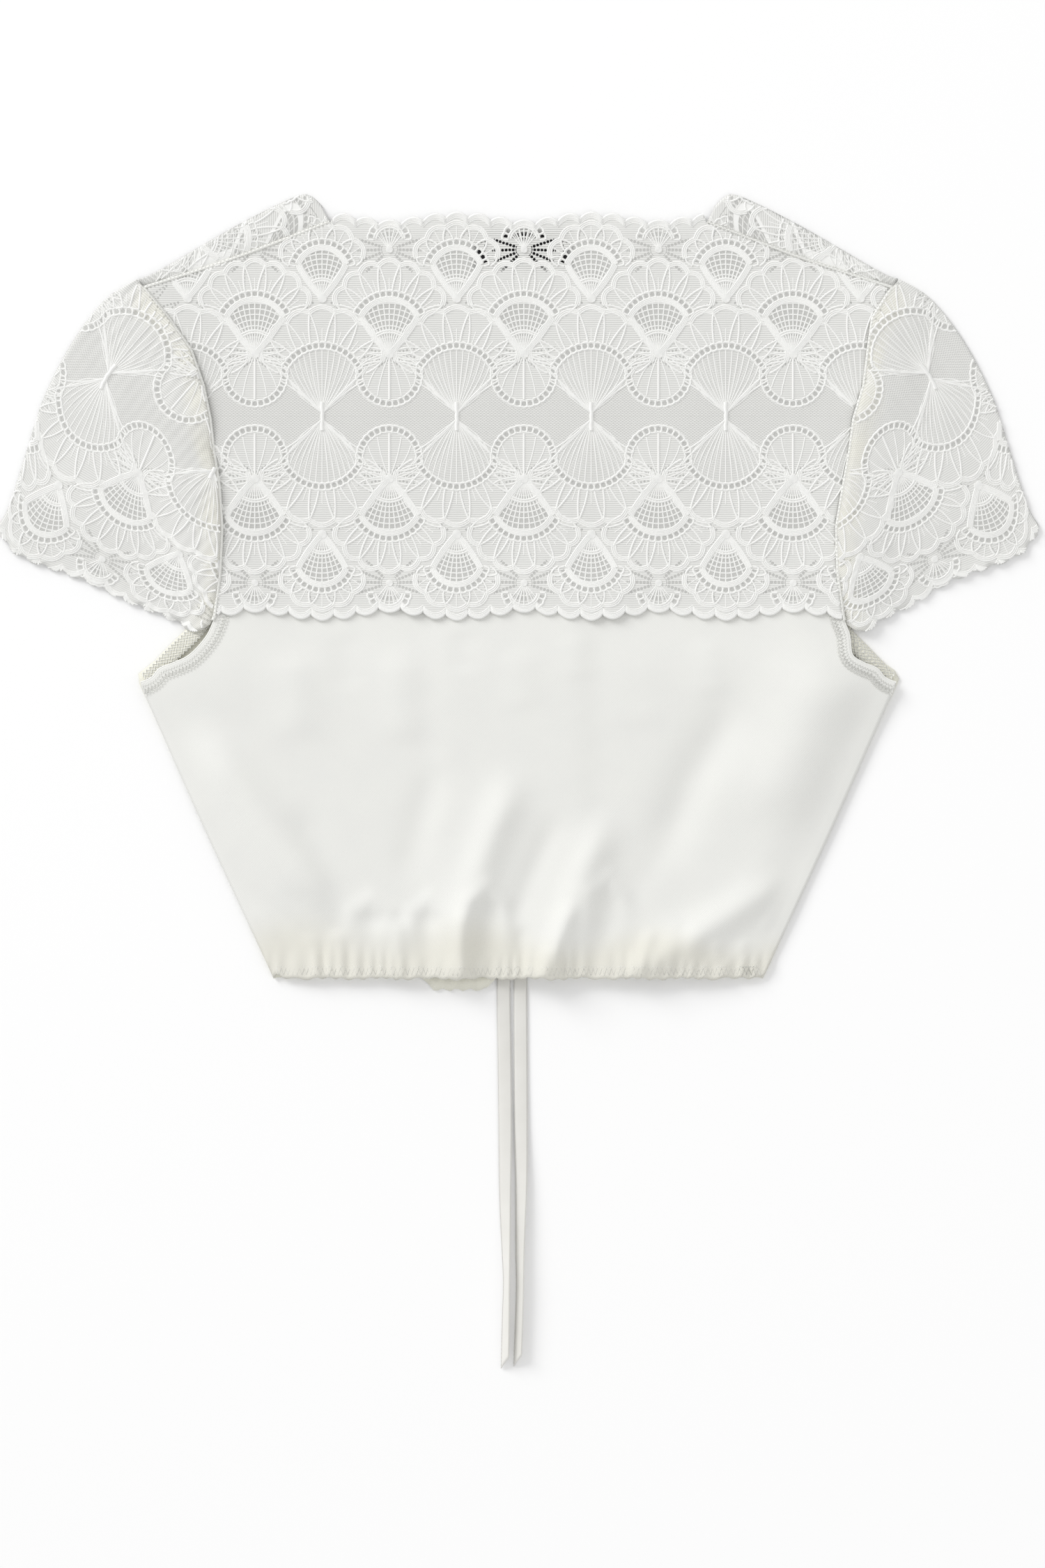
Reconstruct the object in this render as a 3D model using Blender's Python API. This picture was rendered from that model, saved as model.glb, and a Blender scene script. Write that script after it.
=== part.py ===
# Dirndl blouse of white cotton and scalloped lace, laid flat on a surface with its back up.
# Tables are in millimetres. y runs up from the hem line, and u runs out from the middle to either side.
import math

import bpy
from mathutils import Vector
from mathutils.geometry import delaunay_2d_cdt

MM = 0.001
HALF_LENGTH = 204.6  # brings the middle of the blouse's length over the origin

# Cloth layers, from the surface up.
WALL = 1.0
GAP = 0.3
LAYER = WALL + GAP
FOLD_ROUND = 0.35  # how far the two outer edges of a fold are rounded in
YOKE_CLEAR = 0.35  # more room where the yoke laps over the cotton
BODICE_CLEAR = 0.2  # more room between the two bodice panels
SEAM = 0.25  # half of the clear plan width at a butted seam

# Galloon lace: a straight band with two scalloped edges.
LACE_AXIS_Y = 298.3
LACE_REPEAT = 71.4
LACE_PHASE = 3.0  # where a small edge fan stands, so where the edge dips in
LACE_VALLEY = 100.8  # from the axis to the deepest valley
LOBE_DEPTH = 3.2
DIP_DEPTH = 4.2
LOBES_PER_REPEAT = 6
POINTS_PER_LOBE = 3

# Bodice.
COTTON_TOP_Y = 201.0
FRONT_TOP_Y = 199.0
HEM_HALF_WIDTH = 129.8
SIDE_CORNER = (202.2, 158.3)
BACK_CORNER = (200.9, 156.6)
SIDE_BULGE = (166.0, 77.0)  # where the side seams pass on their way down to the hem
PUCKER_PITCH = 7.3
PUCKER_HEIGHT = 0.9
HEM_BAND = 6.8
FRILL_CENTRE = -31.5
FRILL_HALF_WIDTH = 21.0
FRILL_DROP = 6.2
COLUMN_BACK = 19  # spacing of the points along the top edges of the back and the front
COLUMN_FRONT = 20
BACK_NET = 9.5  # spacing of the net of points inside each panel
FRONT_NET = 13
YOKE_NET = 17

# Ribbons.
RIBBON_THICK = 1.0
RIBBON_MIDDLE_X = -3.3
RIBBON_RAMP = 12  # over how much width the cloth comes down again beside the ribbons
HUMP_FRONT = 14  # half of the raised width in the front, the back and the yoke
HUMP_BACK = 34
HUMP_YOKE = 54

# Neck edge, shoulder and armhole.
NECK_CORNER = (100.3, 401.6)
SHOULDER_SEAM = ((100.3, 401.6), (127.3, 391.0), (158.4, 379.5), (198.7, 366.4))
SHOULDER_FOLD = (
    (104.0, 408.5), (109.5, 414.3), (114.0, 415.9), (124.3, 412.2), (151.0, 398.6), (190.9, 375.6),
    (201.6, 371.2),
)
SLEEVE_FOLD = (
    (202.2, 370.9), (219.0, 360.4), (236.4, 338.2), (251.6, 308.6), (261.2, 279.0), (270.4, 250.5),
    (275.9, 241.0),
)
SLEEVE_HEM = ((275.9, 241.0), (264.5, 226.0), (231.0, 213.0), (203.0, 200.0), (182.0, 191.5), (170.5, 184.0))
SLEEVE_HEM_LOBE = 11.6
SLEEVE_HEM_DEPTH = 2.4
SLEEVE_FOOT_Y = 186.0  # height of the lower end of the sleeve's upper layer at the armhole
SLEEVE_TOP_Y = 367.0
UNDER_SLEEVE_SEAM = ((179.0, 187.0), (166.0, 200.0))  # lower layer, below the armhole seam
UNDER_SLEEVE_RISE = 1.6  # the lower layer's hem stands back from the upper one's
FRONT_NECK = ((48.0, 199.6), (61.0, 205.4), (80.3, 224.0), (104.0, 250.0), (104.0, 320.0), (104.0, 404.0))
FRONT_NECK_LOBE = 11.8
FRONT_NECK_DEPTH = 1.6
SHOULDER_POINT = (200.2, 367.2)
SHOULDER_TOP_Y = 365.2

# Armhole seam: height, then how far out it lies on the left and on the right.
ARMHOLE = (
    (366.4, 198.7, 198.2),
    (350.4, 185.7, 188.0),
    (333.4, 173.8, 185.6),
    (314.5, 167.2, 183.4),
    (296.7, 163.5, 178.0),
    (279.7, 161.7, 175.8),
    (260.9, 158.7, 172.4),
    (239.0, 157.3, 168.8),
    (215.0, 158.4, 169.6),
    (192.4, 160.9, 172.2),
    (181.0, 166.6, 175.6),
)
ARMHOLE_FOOT = 192.4
FRONT_ARMHOLE = ((164.0, 199.0), (176.9, 185.0), (185.8, 176.4), (194.6, 167.2), (201.6, 162.2), SIDE_CORNER)
BACK_ARMHOLE = (
    (158.6, 201.0), (160.3, 192.4), (165.6, 181.0), (174.2, 171.6), (183.2, 167.2), (190.2, 164.4),
    (194.5, 159.6), BACK_CORNER,
)
BACK_BAND_PATH = ((168.2, 180.6), (175.6, 173.0), (184.0, 168.4), (190.0, 165.2))
FRONT_BAND_PATH = ((176.6, 184.2), (185.4, 175.2), (194.0, 166.4), (199.6, 162.2))
BAND_WIDTH = 7.0

# Sleeve gathers: they run from the armhole in the lace's own direction.
GATHER_ALONG = (0.757, 0.653)  # the lace's axis, towards the neck and up, in u and y
GATHER_PITCH = 11.0
GATHER_HEIGHT = 1.3
GATHER_FADE = 55.0
STRIP_WIDTH = 12.5
STRIP_ENDS = (360.0, 206.0)
PUFF_HEIGHT = 2.2

# Folds of the back bodice: path from first to last point, half width, height. Height under 0 is a trough.
FOLDS = (
    (((2, 115), (-13, 78), (-28, 36), (-31, 6)), 11, 3.4),
    (((50, 91), (29, 36), (14, 4)), 11, 3.6),
    (((147, 54), (108, 30), (68, 8)), 11, 3.2),
    (((-175, 136), (-135, 84), (-91, 24)), 13, 3.6),
    (((172, 178), (150, 130), (128, 76)), 24, 3.6),
    (((-79, 33), (-80, 0)), 8, 3.0),
    (((-49, 34), (-50, 0)), 8, 2.8),
    (((46, 48), (46, 0)), 9, 3.0),
    (((90, 30), (88, 0)), 8, 2.2),
    (((123, 160), (92, 108), (71, 54)), 13, -2.2),
    (((-169, 75), (-127, 36), (-84, 4)), 10, -2.0),
    (((166, 74), (120, 30), (98, 14)), 9, -1.8),
    (((-120, 176), (-118, 120)), 15, 1.2),
    (((-62, 180), (-60, 120)), 14, 1.3),
    (((60, 180), (62, 130)), 13, 1.2),
)
BODICE_PUFF = 2.4

# Labels at the back neck: left, right, low and high edge.
NECK_LABEL = (-21.5, 25.9, 377.8, 400.0)
SIZE_TAB = (-8.0, 14.0, 368.8, 377.5)

# Ribbons: y, x of the middle, how far the satin is turned on edge in degrees.
RIBBONS = {
    "left": (
        (194.0, -7.6, 0), (100.0, -7.8, 0), (0.0, -7.8, 0), (-40.0, -7.3, 0), (-80.0, -6.9, 8),
        (-120.0, -6.9, 28), (-158.0, -6.3, 58), (-180.0, -6.6, 54), (-204.0, -7.1, 50),
    ),
    "right": (
        (194.0, 1.4, 0), (100.0, 1.2, 0), (0.0, 1.1, 0), (-40.0, 1.3, 0), (-80.0, 1.5, 6),
        (-110.0, 1.6, 24), (-144.0, 0.9, 44), (-167.0, 0.8, 52), (-203.0, -0.4, 50),
    ),
}
RIBBON_WIDTH = 7.0
RIBBON_STEP = 7.0
RIBBON_CUT_SLANT = 6.0


def smooth(low, high, value):
    t = min(1.0, max(0.0, (value - low) / (high - low)))
    return t * t * (3 - 2 * t)


def column(rows, key, index):
    # Reads a table whose first column falls, at any height between its rows.
    if key >= rows[0][0]:
        return rows[0][index]
    for above, below in zip(rows, rows[1:]):
        if key >= below[0]:
            share = (above[0] - key) / (above[0] - below[0])
            return above[index] + share * (below[index] - above[index])
    return rows[-1][index]


def spline(points, step):
    # A smooth curve through the points, with samples about one step apart.
    padded = [points[0], *points, points[-1]]
    path = []
    for before, start, end, after in zip(padded, padded[1:], padded[2:], padded[3:]):
        count = max(1, round(math.dist(start, end) / step))
        for i in range(count):
            t = i / count
            path.append(tuple(
                b + 0.5 * t * (c - a + t * (2 * a - 5 * b + 4 * c - d + t * (3 * b - a - 3 * c + d)))
                for a, b, c, d in zip(before, start, end, after)
            ))
    return path + [tuple(points[-1])]


def nearest(point, path):
    # Distance from a point to a path, and how far along the path that is, from 0 to 1.
    best, place, total = 1e9, 0.0, 0.0
    for start, end in zip(path, path[1:]):
        dx, dy = end[0] - start[0], end[1] - start[1]
        length = math.hypot(dx, dy)
        share = ((point[0] - start[0]) * dx + (point[1] - start[1]) * dy) / max(length * length, 1e-9)
        share = min(1.0, max(0.0, share))
        reach = math.hypot(point[0] - start[0] - share * dx, point[1] - start[1] - share * dy)
        if reach < best:
            best, place = reach, total + share * length
        total += length
    return best, place / total


def offset(path, distance):
    # The path moved to its left by a distance.
    moved = []
    for i, point in enumerate(path):
        before, after = path[max(0, i - 1)], path[min(len(path) - 1, i + 1)]
        dx, dy = after[0] - before[0], after[1] - before[1]
        length = math.hypot(dx, dy)
        moved.append((point[0] - dy / length * distance, point[1] + dx / length * distance))
    return moved


def is_inside(point, outline):
    crossings = 0
    for (ax, ay), (bx, by) in zip(outline, outline[1:] + outline[:1]):
        if (ay > point[1]) != (by > point[1]) and point[0] < ax + (point[1] - ay) / (by - ay) * (bx - ax):
            crossings += 1
    return crossings % 2 == 1


def triangulate(outline, spacing, rows=()):
    # The outline filled with an even net of points and joined into triangles, outline points first.
    closed = outline + outline[:1]
    lows = [min(p[i] for p in outline) for i in (0, 1)]
    highs = [max(p[i] for p in outline) for i in (0, 1)]
    rise = spacing * math.sqrt(0.75)
    inner = list(rows)
    for row in range(1, int((highs[1] - lows[1]) / rise) + 1):
        y = lows[1] + row * rise
        for i in range(int((highs[0] - lows[0]) / spacing) + 1):
            point = (lows[0] + (i + 0.5 * (row % 2)) * spacing, y)
            clear = all(math.dist(point, other) > 0.55 * spacing for other in rows)
            if is_inside(point, outline) and nearest(point, closed)[0] > 0.45 * spacing and clear:
                inner.append(point)
    points = outline + inner
    edges = [(i, (i + 1) % len(outline)) for i in range(len(outline))]
    places, _, faces, _, _, _ = delaunay_2d_cdt([Vector(p) for p in points], edges, [], 1, 1e-7)
    assert len(places) == len(points)
    return points, [tuple(face) for face in faces]


def material(name, color, roughness):
    made = bpy.data.materials.new(name)
    made.use_nodes = True
    shader = made.node_tree.nodes["Principled BSDF"]
    shader.inputs["Base Color"].default_value = (*color, 1)
    shader.inputs["Roughness"].default_value = roughness
    made.diffuse_color = (*color, 1)
    return made


def add_object(name, vertices, faces, color, side=-1):
    # Side -1 is the wearer's left and 1 the right, whose faces turn round so that they still point out.
    mesh = bpy.data.meshes.new(name)
    places = [(side * u * MM, (y - HALF_LENGTH) * MM, z * MM) for u, y, z in vertices]
    turned = faces if side < 0 else [face[::-1] for face in faces]
    mesh.from_pydata(places, [], turned)
    mesh.update()
    piece = bpy.data.objects.new(name, mesh)
    piece.data.materials.append(material(name, *color))
    piece.parent = blouse
    bpy.context.collection.objects.link(piece)
    return piece


def rim(low, high, count, start=0):
    # Side faces between two layers of the same outline, from one outline point round to the first.
    for i in range(start, count):
        j = (i + 1) % count
        yield (low + i, low + j, high + j, high + i)


def add_panel(name, outline, spacing, underside, color, side=-1, wall=WALL, rows=()):
    # One flat-lying piece: a wall of even thickness over its underside's heights.
    points, triangles = triangulate([(-x, y) for x, y in outline], spacing, [(-x, y) for x, y in rows])
    points = [(-x, y) for x, y in points]
    low = [(x, y, underside(x, y)) for x, y in points]
    high = [(x, y, z + wall) for x, y, z in low]
    count = len(points)
    faces = [face[::-1] for face in triangles]
    faces += [tuple(i + count for i in face) for face in triangles]
    faces += rim(0, count, len(outline))
    add_object(name, low + high, faces, color, side)


def add_folded(name, fold, upper_edge, lower_edge, spacings, underside, color, side):
    # A piece folded along one edge: its lower layer lies on the surface, and its upper layer lies over that.
    upper, upper_faces = triangulate([(-x, y) for x, y in fold + upper_edge], spacings[0])
    lower, lower_faces = triangulate([(-x, y) for x, y in fold + lower_edge], spacings[1])
    upper = [(-x, y) for x, y in upper]
    lower = [(-x, y) for x, y in lower]
    turn = len(fold)
    inset = offset(fold, -WALL)
    top = [(x, y, underside(x, y) + WALL - (FOLD_ROUND if i < turn else 0)) for i, (x, y) in enumerate(upper)]
    roof = [(*p, underside(*p)) for p in inset + upper[turn:]]
    floor = [(*p, WALL) for p in inset + lower[turn:]]
    base = [(x, y, FOLD_ROUND if i < turn else 0.0) for i, (x, y) in enumerate(lower)]
    s1, s2 = 0, len(upper)
    s3, s4 = 2 * len(upper), 2 * len(upper) + len(lower)
    faces = [tuple(s1 + i for i in face) for face in upper_faces]
    faces += [tuple(s2 + i for i in face[::-1]) for face in upper_faces]
    faces += [tuple(s3 + i for i in face) for face in lower_faces]
    faces += [tuple(s4 + i for i in face[::-1]) for face in lower_faces]
    for i in range(turn - 1):
        faces.append((s4 + i, s4 + i + 1, s1 + i + 1, s1 + i))
        faces.append((s2 + i, s2 + i + 1, s3 + i + 1, s3 + i))
    faces += rim(s2, s1, turn + len(upper_edge), turn - 1)
    faces += rim(s4, s3, turn + len(lower_edge), turn - 1)
    end = turn - 1
    faces.append((s1 + end, s4 + end, s3 + end, s2 + end))
    faces.append((s4, s1, s2, s3))
    add_object(name, top + roof + floor + base, faces, color, side)


def armhole(y, side):
    return column(ARMHOLE, y, 1 if side < 0 else 2)


def widened(points, side, low, high):
    # Points beside the armhole, moved out as far as this side's seam lies beyond the left one.
    shift = armhole(ARMHOLE_FOOT, side) - armhole(ARMHOLE_FOOT, -1)
    return [(x + shift * smooth(low, high, y), y) for x, y in points]


def armhole_path(side, highest, lowest, step, shift):
    # The seam line from a high point down to a low one, moved out by the shift.
    count = round((highest - lowest) / step)
    heights = [highest + (lowest - highest) * i / count for i in range(count + 1)]
    return [(armhole(y, side) + shift, y) for y in heights]


def lace_edge(x):
    # Distance from the lace's axis to its scalloped edge.
    turn = (x - LACE_PHASE) / LACE_REPEAT
    lobe = abs(math.cos(math.pi * turn * LOBES_PER_REPEAT)) ** 0.8
    dip = (0.5 - 0.5 * math.cos(2 * math.pi * turn)) ** 0.8
    return LACE_VALLEY + LOBE_DEPTH * lobe + DIP_DEPTH * dip


def lobed(path, pitch, depth):
    # A path with scallops that stand out on its left, whole ones from end to end.
    lengths = [0.0]
    for start, end in zip(path, path[1:]):
        lengths.append(lengths[-1] + math.dist(start, end))
    lobes = round(lengths[-1] / pitch)
    swings = [abs(math.sin(math.pi * lobes * along / lengths[-1])) ** 0.8 for along in lengths]
    moved = offset(path, 1.0)
    return [
        (x + (mx - x) * depth * swing, y + (my - y) * depth * swing)
        for (x, y), (mx, my), swing in zip(path, moved, swings)
    ]


def ribbon_hump(x, flat):
    # The cloth rises over the two ribbons; each layer above rises over a wider stretch than the one below.
    return (RIBBON_THICK + 0.35) * (1 - smooth(flat, flat + RIBBON_RAMP, abs(x - RIBBON_MIDDLE_X)))


def front_underside(x, y):
    return ribbon_hump(x, HUMP_FRONT)


def puckers(x, y):
    wave = 0.5 + 0.5 * math.cos(2 * math.pi * x / PUCKER_PITCH)
    return PUCKER_HEIGHT * wave * (1 - smooth(HEM_BAND, 13, y))


def fold_heights(x, y):
    total = 0.0
    for path, width, height in FOLDS:
        reach, along = nearest((x, y), path)
        ends = smooth(0, 0.25, along) * (1 if path[-1][1] < 10 else smooth(0, 0.25, 1 - along))
        total += height * ends * math.exp(-((reach / width) ** 2))
    return total


def side_edge(y):
    # Half width of the bodice at a height under the armhole.
    return HEM_HALF_WIDTH + (BACK_CORNER[0] - HEM_HALF_WIDTH) * y / BACK_CORNER[1]


def back_underside(x, y):
    # Back bodice: over the front, the ribbons and, beside the armholes, the elastic.
    away = smooth(0, 28, side_edge(min(y, BACK_CORNER[1])) - abs(x)) * smooth(COTTON_TOP_Y, 160, y)
    puff = max(0.0, (BODICE_PUFF + fold_heights(x, y)) * away)
    by_armhole = LAYER * smooth(128, 156, y) * smooth(118, 156, abs(x))
    return LAYER + BODICE_CLEAR + ribbon_hump(x, HUMP_BACK) + puff + by_armhole + puckers(x, y)


def yoke_underside(x, y):
    # Back yoke: low over the neck opening, higher at the armhole and where it laps over the cotton.
    side = -1 if x < 0 else 1
    by_armhole = LAYER * (1 - smooth(3, 26, armhole(y, side) - abs(x)))
    cotton = back_underside(x, min(y, COTTON_TOP_Y)) + ribbon_hump(x, HUMP_YOKE) - ribbon_hump(x, HUMP_BACK)
    over = cotton + LAYER + YOKE_CLEAR
    plain = LAYER + by_armhole + 0.6 * smooth(400, 360, y)
    return max(plain, plain + (over - plain) * smooth(222, 206, y))


def gather(x, y, side):
    # Height of the sleeve's gathers, and the distance to the armhole.
    reach = nearest((x, y), ARMHOLE_LINES[side])[0]
    along = x * GATHER_ALONG[0] + y * GATHER_ALONG[1]
    wave = 0.5 + 0.5 * math.cos(2 * math.pi * along / GATHER_PITCH)
    return GATHER_HEIGHT * wave * math.exp(-reach / GATHER_FADE), reach


def sleeve_underside(side):
    def height(x, y):
        # Over the gathered strip beside the armhole, then down to the fold and the hem.
        wave, reach = gather(x, y, side)
        to_edge = min(nearest((x, y), SLEEVE_FOLD)[0], nearest((x, y), SLEEVE_HEM)[0])
        calm = smooth(0, 12, to_edge)
        past_strip = reach > STRIP_WIDTH + 2
        lift = (LAYER + 0.5) * (1 - smooth(STRIP_WIDTH + 2, 36, reach))
        lift *= 0.25 + 0.75 * calm if past_strip else 1
        puff = PUFF_HEIGHT * smooth(8, 40, to_edge)
        return LAYER + lift + (wave + puff) * calm
    return height


def strip_underside(side):
    def height(x, y):
        return LAYER + 0.5 * gather(x, y, side)[0]
    return height


def front_lace_underside(x, y):
    return LAYER + 0.4 * smooth(0, 6, abs(y - column(SHOULDER_LINE, -x, 1)))


def add_bodice():
    hem_step = PUCKER_PITCH / 2
    hem_count = 2 * round(HEM_HALF_WIDTH / PUCKER_PITCH)
    hem = [i * hem_step for i in range(-hem_count, hem_count + 1)]
    seam = spline((BACK_CORNER, SIDE_BULGE, (HEM_HALF_WIDTH + 1.4, 3.0)), 9)
    left_edge = spline(BACK_ARMHOLE, 5)[:-1] + seam
    outline = [(i * COLUMN_BACK, COTTON_TOP_Y) for i in range(-8, 9)]
    outline += left_edge
    outline += [(x, 0.0) for x in reversed(hem)]
    outline += [(-x, y) for x, y in reversed(widened(left_edge, 1, 165, 185))]
    rows = [(x, y) for y in (3.4, HEM_BAND) for x in hem[1:-1]]
    add_panel("back_bodice", outline, BACK_NET, lambda u, y: back_underside(-u, y), COTTON, rows=rows)

    front_left = spline(FRONT_ARMHOLE, 6)[:-1] + spline((SIDE_CORNER, SIDE_BULGE, (HEM_HALF_WIDTH, 0.4)), 14)
    outline = [((i + 0.5) * COLUMN_FRONT, FRONT_TOP_Y) for i in range(-8, 8)]
    outline += front_left
    for x in reversed(hem[1:-1]):
        frill = 1 - smooth(FRILL_HALF_WIDTH * 0.6, FRILL_HALF_WIDTH, abs(-x - FRILL_CENTRE))
        wave = 0.5 + 0.5 * math.cos(2 * math.pi * x / PUCKER_PITCH)
        outline.append((x, 0.6 - frill * (FRILL_DROP + wave)))
    outline += [(-x, y) for x, y in reversed(widened(front_left, 1, 186, 199))]
    add_panel("front_bodice", outline, FRONT_NET, lambda u, y: front_underside(-u, y), COTTON)


def add_yoke():
    step = LACE_REPEAT / LOBES_PER_REPEAT / POINTS_PER_LOBE
    reach = NECK_CORNER[0] - 2 * SEAM
    neck_count = int(2 * reach / step)
    neck = [-reach + 2 * reach * i / neck_count for i in range(neck_count + 1)]
    outline = []
    left_seam = [(reach, NECK_CORNER[1] - SEAM)] + [(x, y - SEAM) for x, y in spline(SHOULDER_SEAM, 10)][1:-1]
    low_y = LACE_AXIS_Y - lace_edge(-160)
    outline += [(-x, LACE_AXIS_Y + lace_edge(x)) for x in reversed(neck)]
    outline += left_seam
    outline += armhole_path(-1, SHOULDER_TOP_Y, low_y, 12, -SEAM)
    low_left, low_right = outline[-1][0], armhole(low_y, 1) - SEAM
    low_count = int((low_left + low_right) / step)
    low = [-low_left + (low_left + low_right) * i / low_count for i in range(1, low_count)]
    outline += [(-x, LACE_AXIS_Y - lace_edge(x)) for x in low]
    outline += [(-x, y) for x, y in reversed(armhole_path(1, SHOULDER_TOP_Y, low_y, 12, -SEAM))]
    outline += [(-x, y) for x, y in reversed(left_seam)]
    add_panel("back_yoke", outline, YOKE_NET, lambda u, y: yoke_underside(-u, y), LACE)


def add_front_lace(side, name):
    fold = spline(SHOULDER_FOLD, 8)
    seam = [(x, y + SEAM) for x, y in spline(SHOULDER_SEAM, 10)]
    upper_edge = [SHOULDER_POINT] + list(reversed(seam[:-1]))
    lower_edge = armhole_path(side, SHOULDER_POINT[1] - 1, FRONT_TOP_Y + 1, 12, -SEAM)
    lower_edge += [(u, FRONT_TOP_Y + GAP) for u in range(150, 50, -14)]
    lower_edge += lobed(spline(FRONT_NECK, 3.9), FRONT_NECK_LOBE, FRONT_NECK_DEPTH)
    add_folded(f"front_lace_{name}", fold, upper_edge, lower_edge, (9, 16), front_lace_underside, LACE, side)


def add_sleeve(side, name):
    fold = spline(SLEEVE_FOLD, 9)
    hem = widened(lobed(spline(SLEEVE_HEM, 3.9), SLEEVE_HEM_LOBE, -SLEEVE_HEM_DEPTH), side, 215, 185)
    seam = list(reversed(armhole_path(side, SLEEVE_TOP_Y, SLEEVE_FOOT_Y, GATHER_PITCH / 2, SEAM)))
    upper_edge = hem[1:] + seam
    low_hem = [(x, y) for x, y in spline(SLEEVE_HEM, 8)[1:-1] if x > UNDER_SLEEVE_SEAM[0][0] + 5]
    low_hem = [(x, y + UNDER_SLEEVE_RISE) for x, y in widened(low_hem, side, 215, 185)]
    low_seam = widened(UNDER_SLEEVE_SEAM, side, 186, 199)
    lower_edge = low_hem + low_seam + list(reversed(armhole_path(side, SLEEVE_TOP_Y, 212.0, 12, SEAM)))
    add_folded(f"sleeve_{name}", fold, upper_edge, lower_edge, (7, 14), sleeve_underside(side), LACE, side)
    inner = armhole_path(side, *STRIP_ENDS, GATHER_PITCH / 2, SEAM + 0.5)
    outer = offset(inner, STRIP_WIDTH)
    outline = outer + inner[::-1]
    add_panel(f"seam_strip_{name}", outline, 30, strip_underside(side), CREAM, side)


def add_bands(side, name):
    path = widened(spline(BACK_BAND_PATH, 5), side, 165, 182)
    outline = path + offset(path, -BAND_WIDTH)[::-1]
    over_back = lambda u, y: back_underside(side * u, y) + LAYER + 0.15
    add_panel(f"armhole_band_back_{name}", outline, 30, over_back, ELASTIC, side)
    path = spline(FRONT_BAND_PATH, 5)
    outline = path + offset(path, -BAND_WIDTH + 1)[::-1]
    add_panel(f"armhole_band_front_{name}", outline, 30, lambda u, y: LAYER, ELASTIC, side)


def add_labels():
    def box(x0, x1, y0, y1):
        return [(-x0, y1), (-x0, y0), (-x1, y0), (-x1, y1)]

    add_panel("neck_label", box(*NECK_LABEL), 12, lambda u, y: 0.0, DARK)
    add_panel("size_tab", box(*SIZE_TAB), 12, lambda u, y: 0.0, CREAM)


def add_ribbon(name, rows):
    # A flat strip whose section turns on edge where the satin twists; its lowest edge stays on the surface.
    length = rows[0][0] - rows[-1][0]
    count = round(length / RIBBON_STEP)
    vertices = []
    for i in range(count + 1):
        y = rows[0][0] - length * i / count
        x, turn = (column(rows, y, k) for k in (1, 2))
        angle = math.radians(turn)
        half = (RIBBON_WIDTH / 2 * math.cos(angle), RIBBON_WIDTH / 2 * math.sin(angle))
        thick = (-RIBBON_THICK / 2 * math.sin(angle), RIBBON_THICK / 2 * math.cos(angle))
        middle = abs(half[1]) + abs(thick[1])
        slant = RIBBON_CUT_SLANT / 2 if i == count else 0.0
        for across, up in ((-1, -1), (1, -1), (1, 1), (-1, 1)):
            u = -(x + across * half[0] + up * thick[0])
            vertices.append((u, y + across * slant, middle + across * half[1] + up * thick[1]))
    faces = [(3, 2, 1, 0), tuple(4 * count + k for k in (0, 1, 2, 3))]
    for i in range(count):
        for k in range(4):
            near, far = 4 * i, 4 * (i + 1)
            after = (k + 1) % 4
            faces.append((near + after, far + after, far + k, near + k))
    add_object(f"ribbon_{name}", vertices, faces, SATIN)


for old in list(bpy.data.objects):
    bpy.data.objects.remove(old)

COTTON = ((0.80, 0.80, 0.77), 0.8)
LACE = ((0.76, 0.76, 0.72), 0.85)
CREAM = ((0.77, 0.75, 0.66), 0.9)
ELASTIC = ((0.78, 0.77, 0.70), 0.8)
SATIN = ((0.74, 0.73, 0.70), 0.35)
DARK = ((0.03, 0.03, 0.035), 0.7)
ARMHOLE_LINES = {side: [(armhole(y, side), y) for y, _, _ in ARMHOLE] for side in (-1, 1)}
SHOULDER_LINE = [(-x, y) for x, y in SHOULDER_SEAM]

blouse = bpy.data.objects.new("blouse", None)
bpy.context.collection.objects.link(blouse)
add_bodice()
add_yoke()
for side_sign, side_name in ((-1, "left"), (1, "right")):
    add_front_lace(side_sign, side_name)
    add_sleeve(side_sign, side_name)
    add_bands(side_sign, side_name)
    add_ribbon(side_name, RIBBONS[side_name])
add_labels()
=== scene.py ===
import math
import bpy
import numpy as np
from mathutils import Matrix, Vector
from mathutils.bvhtree import BVHTree


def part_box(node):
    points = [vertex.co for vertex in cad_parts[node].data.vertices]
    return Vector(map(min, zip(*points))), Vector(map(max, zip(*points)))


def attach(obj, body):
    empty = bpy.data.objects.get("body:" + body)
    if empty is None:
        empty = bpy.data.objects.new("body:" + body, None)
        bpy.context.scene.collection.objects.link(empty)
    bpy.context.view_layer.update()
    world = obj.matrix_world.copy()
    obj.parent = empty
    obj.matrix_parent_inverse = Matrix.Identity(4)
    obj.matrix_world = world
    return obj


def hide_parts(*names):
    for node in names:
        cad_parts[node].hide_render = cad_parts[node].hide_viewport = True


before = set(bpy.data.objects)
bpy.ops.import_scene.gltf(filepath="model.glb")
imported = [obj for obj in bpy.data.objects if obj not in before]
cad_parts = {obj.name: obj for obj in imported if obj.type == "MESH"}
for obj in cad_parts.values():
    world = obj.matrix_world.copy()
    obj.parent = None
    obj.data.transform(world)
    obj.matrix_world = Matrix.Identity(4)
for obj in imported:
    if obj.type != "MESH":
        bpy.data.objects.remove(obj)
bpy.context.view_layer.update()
print("frame loaded:", len(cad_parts), "nodes")

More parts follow.
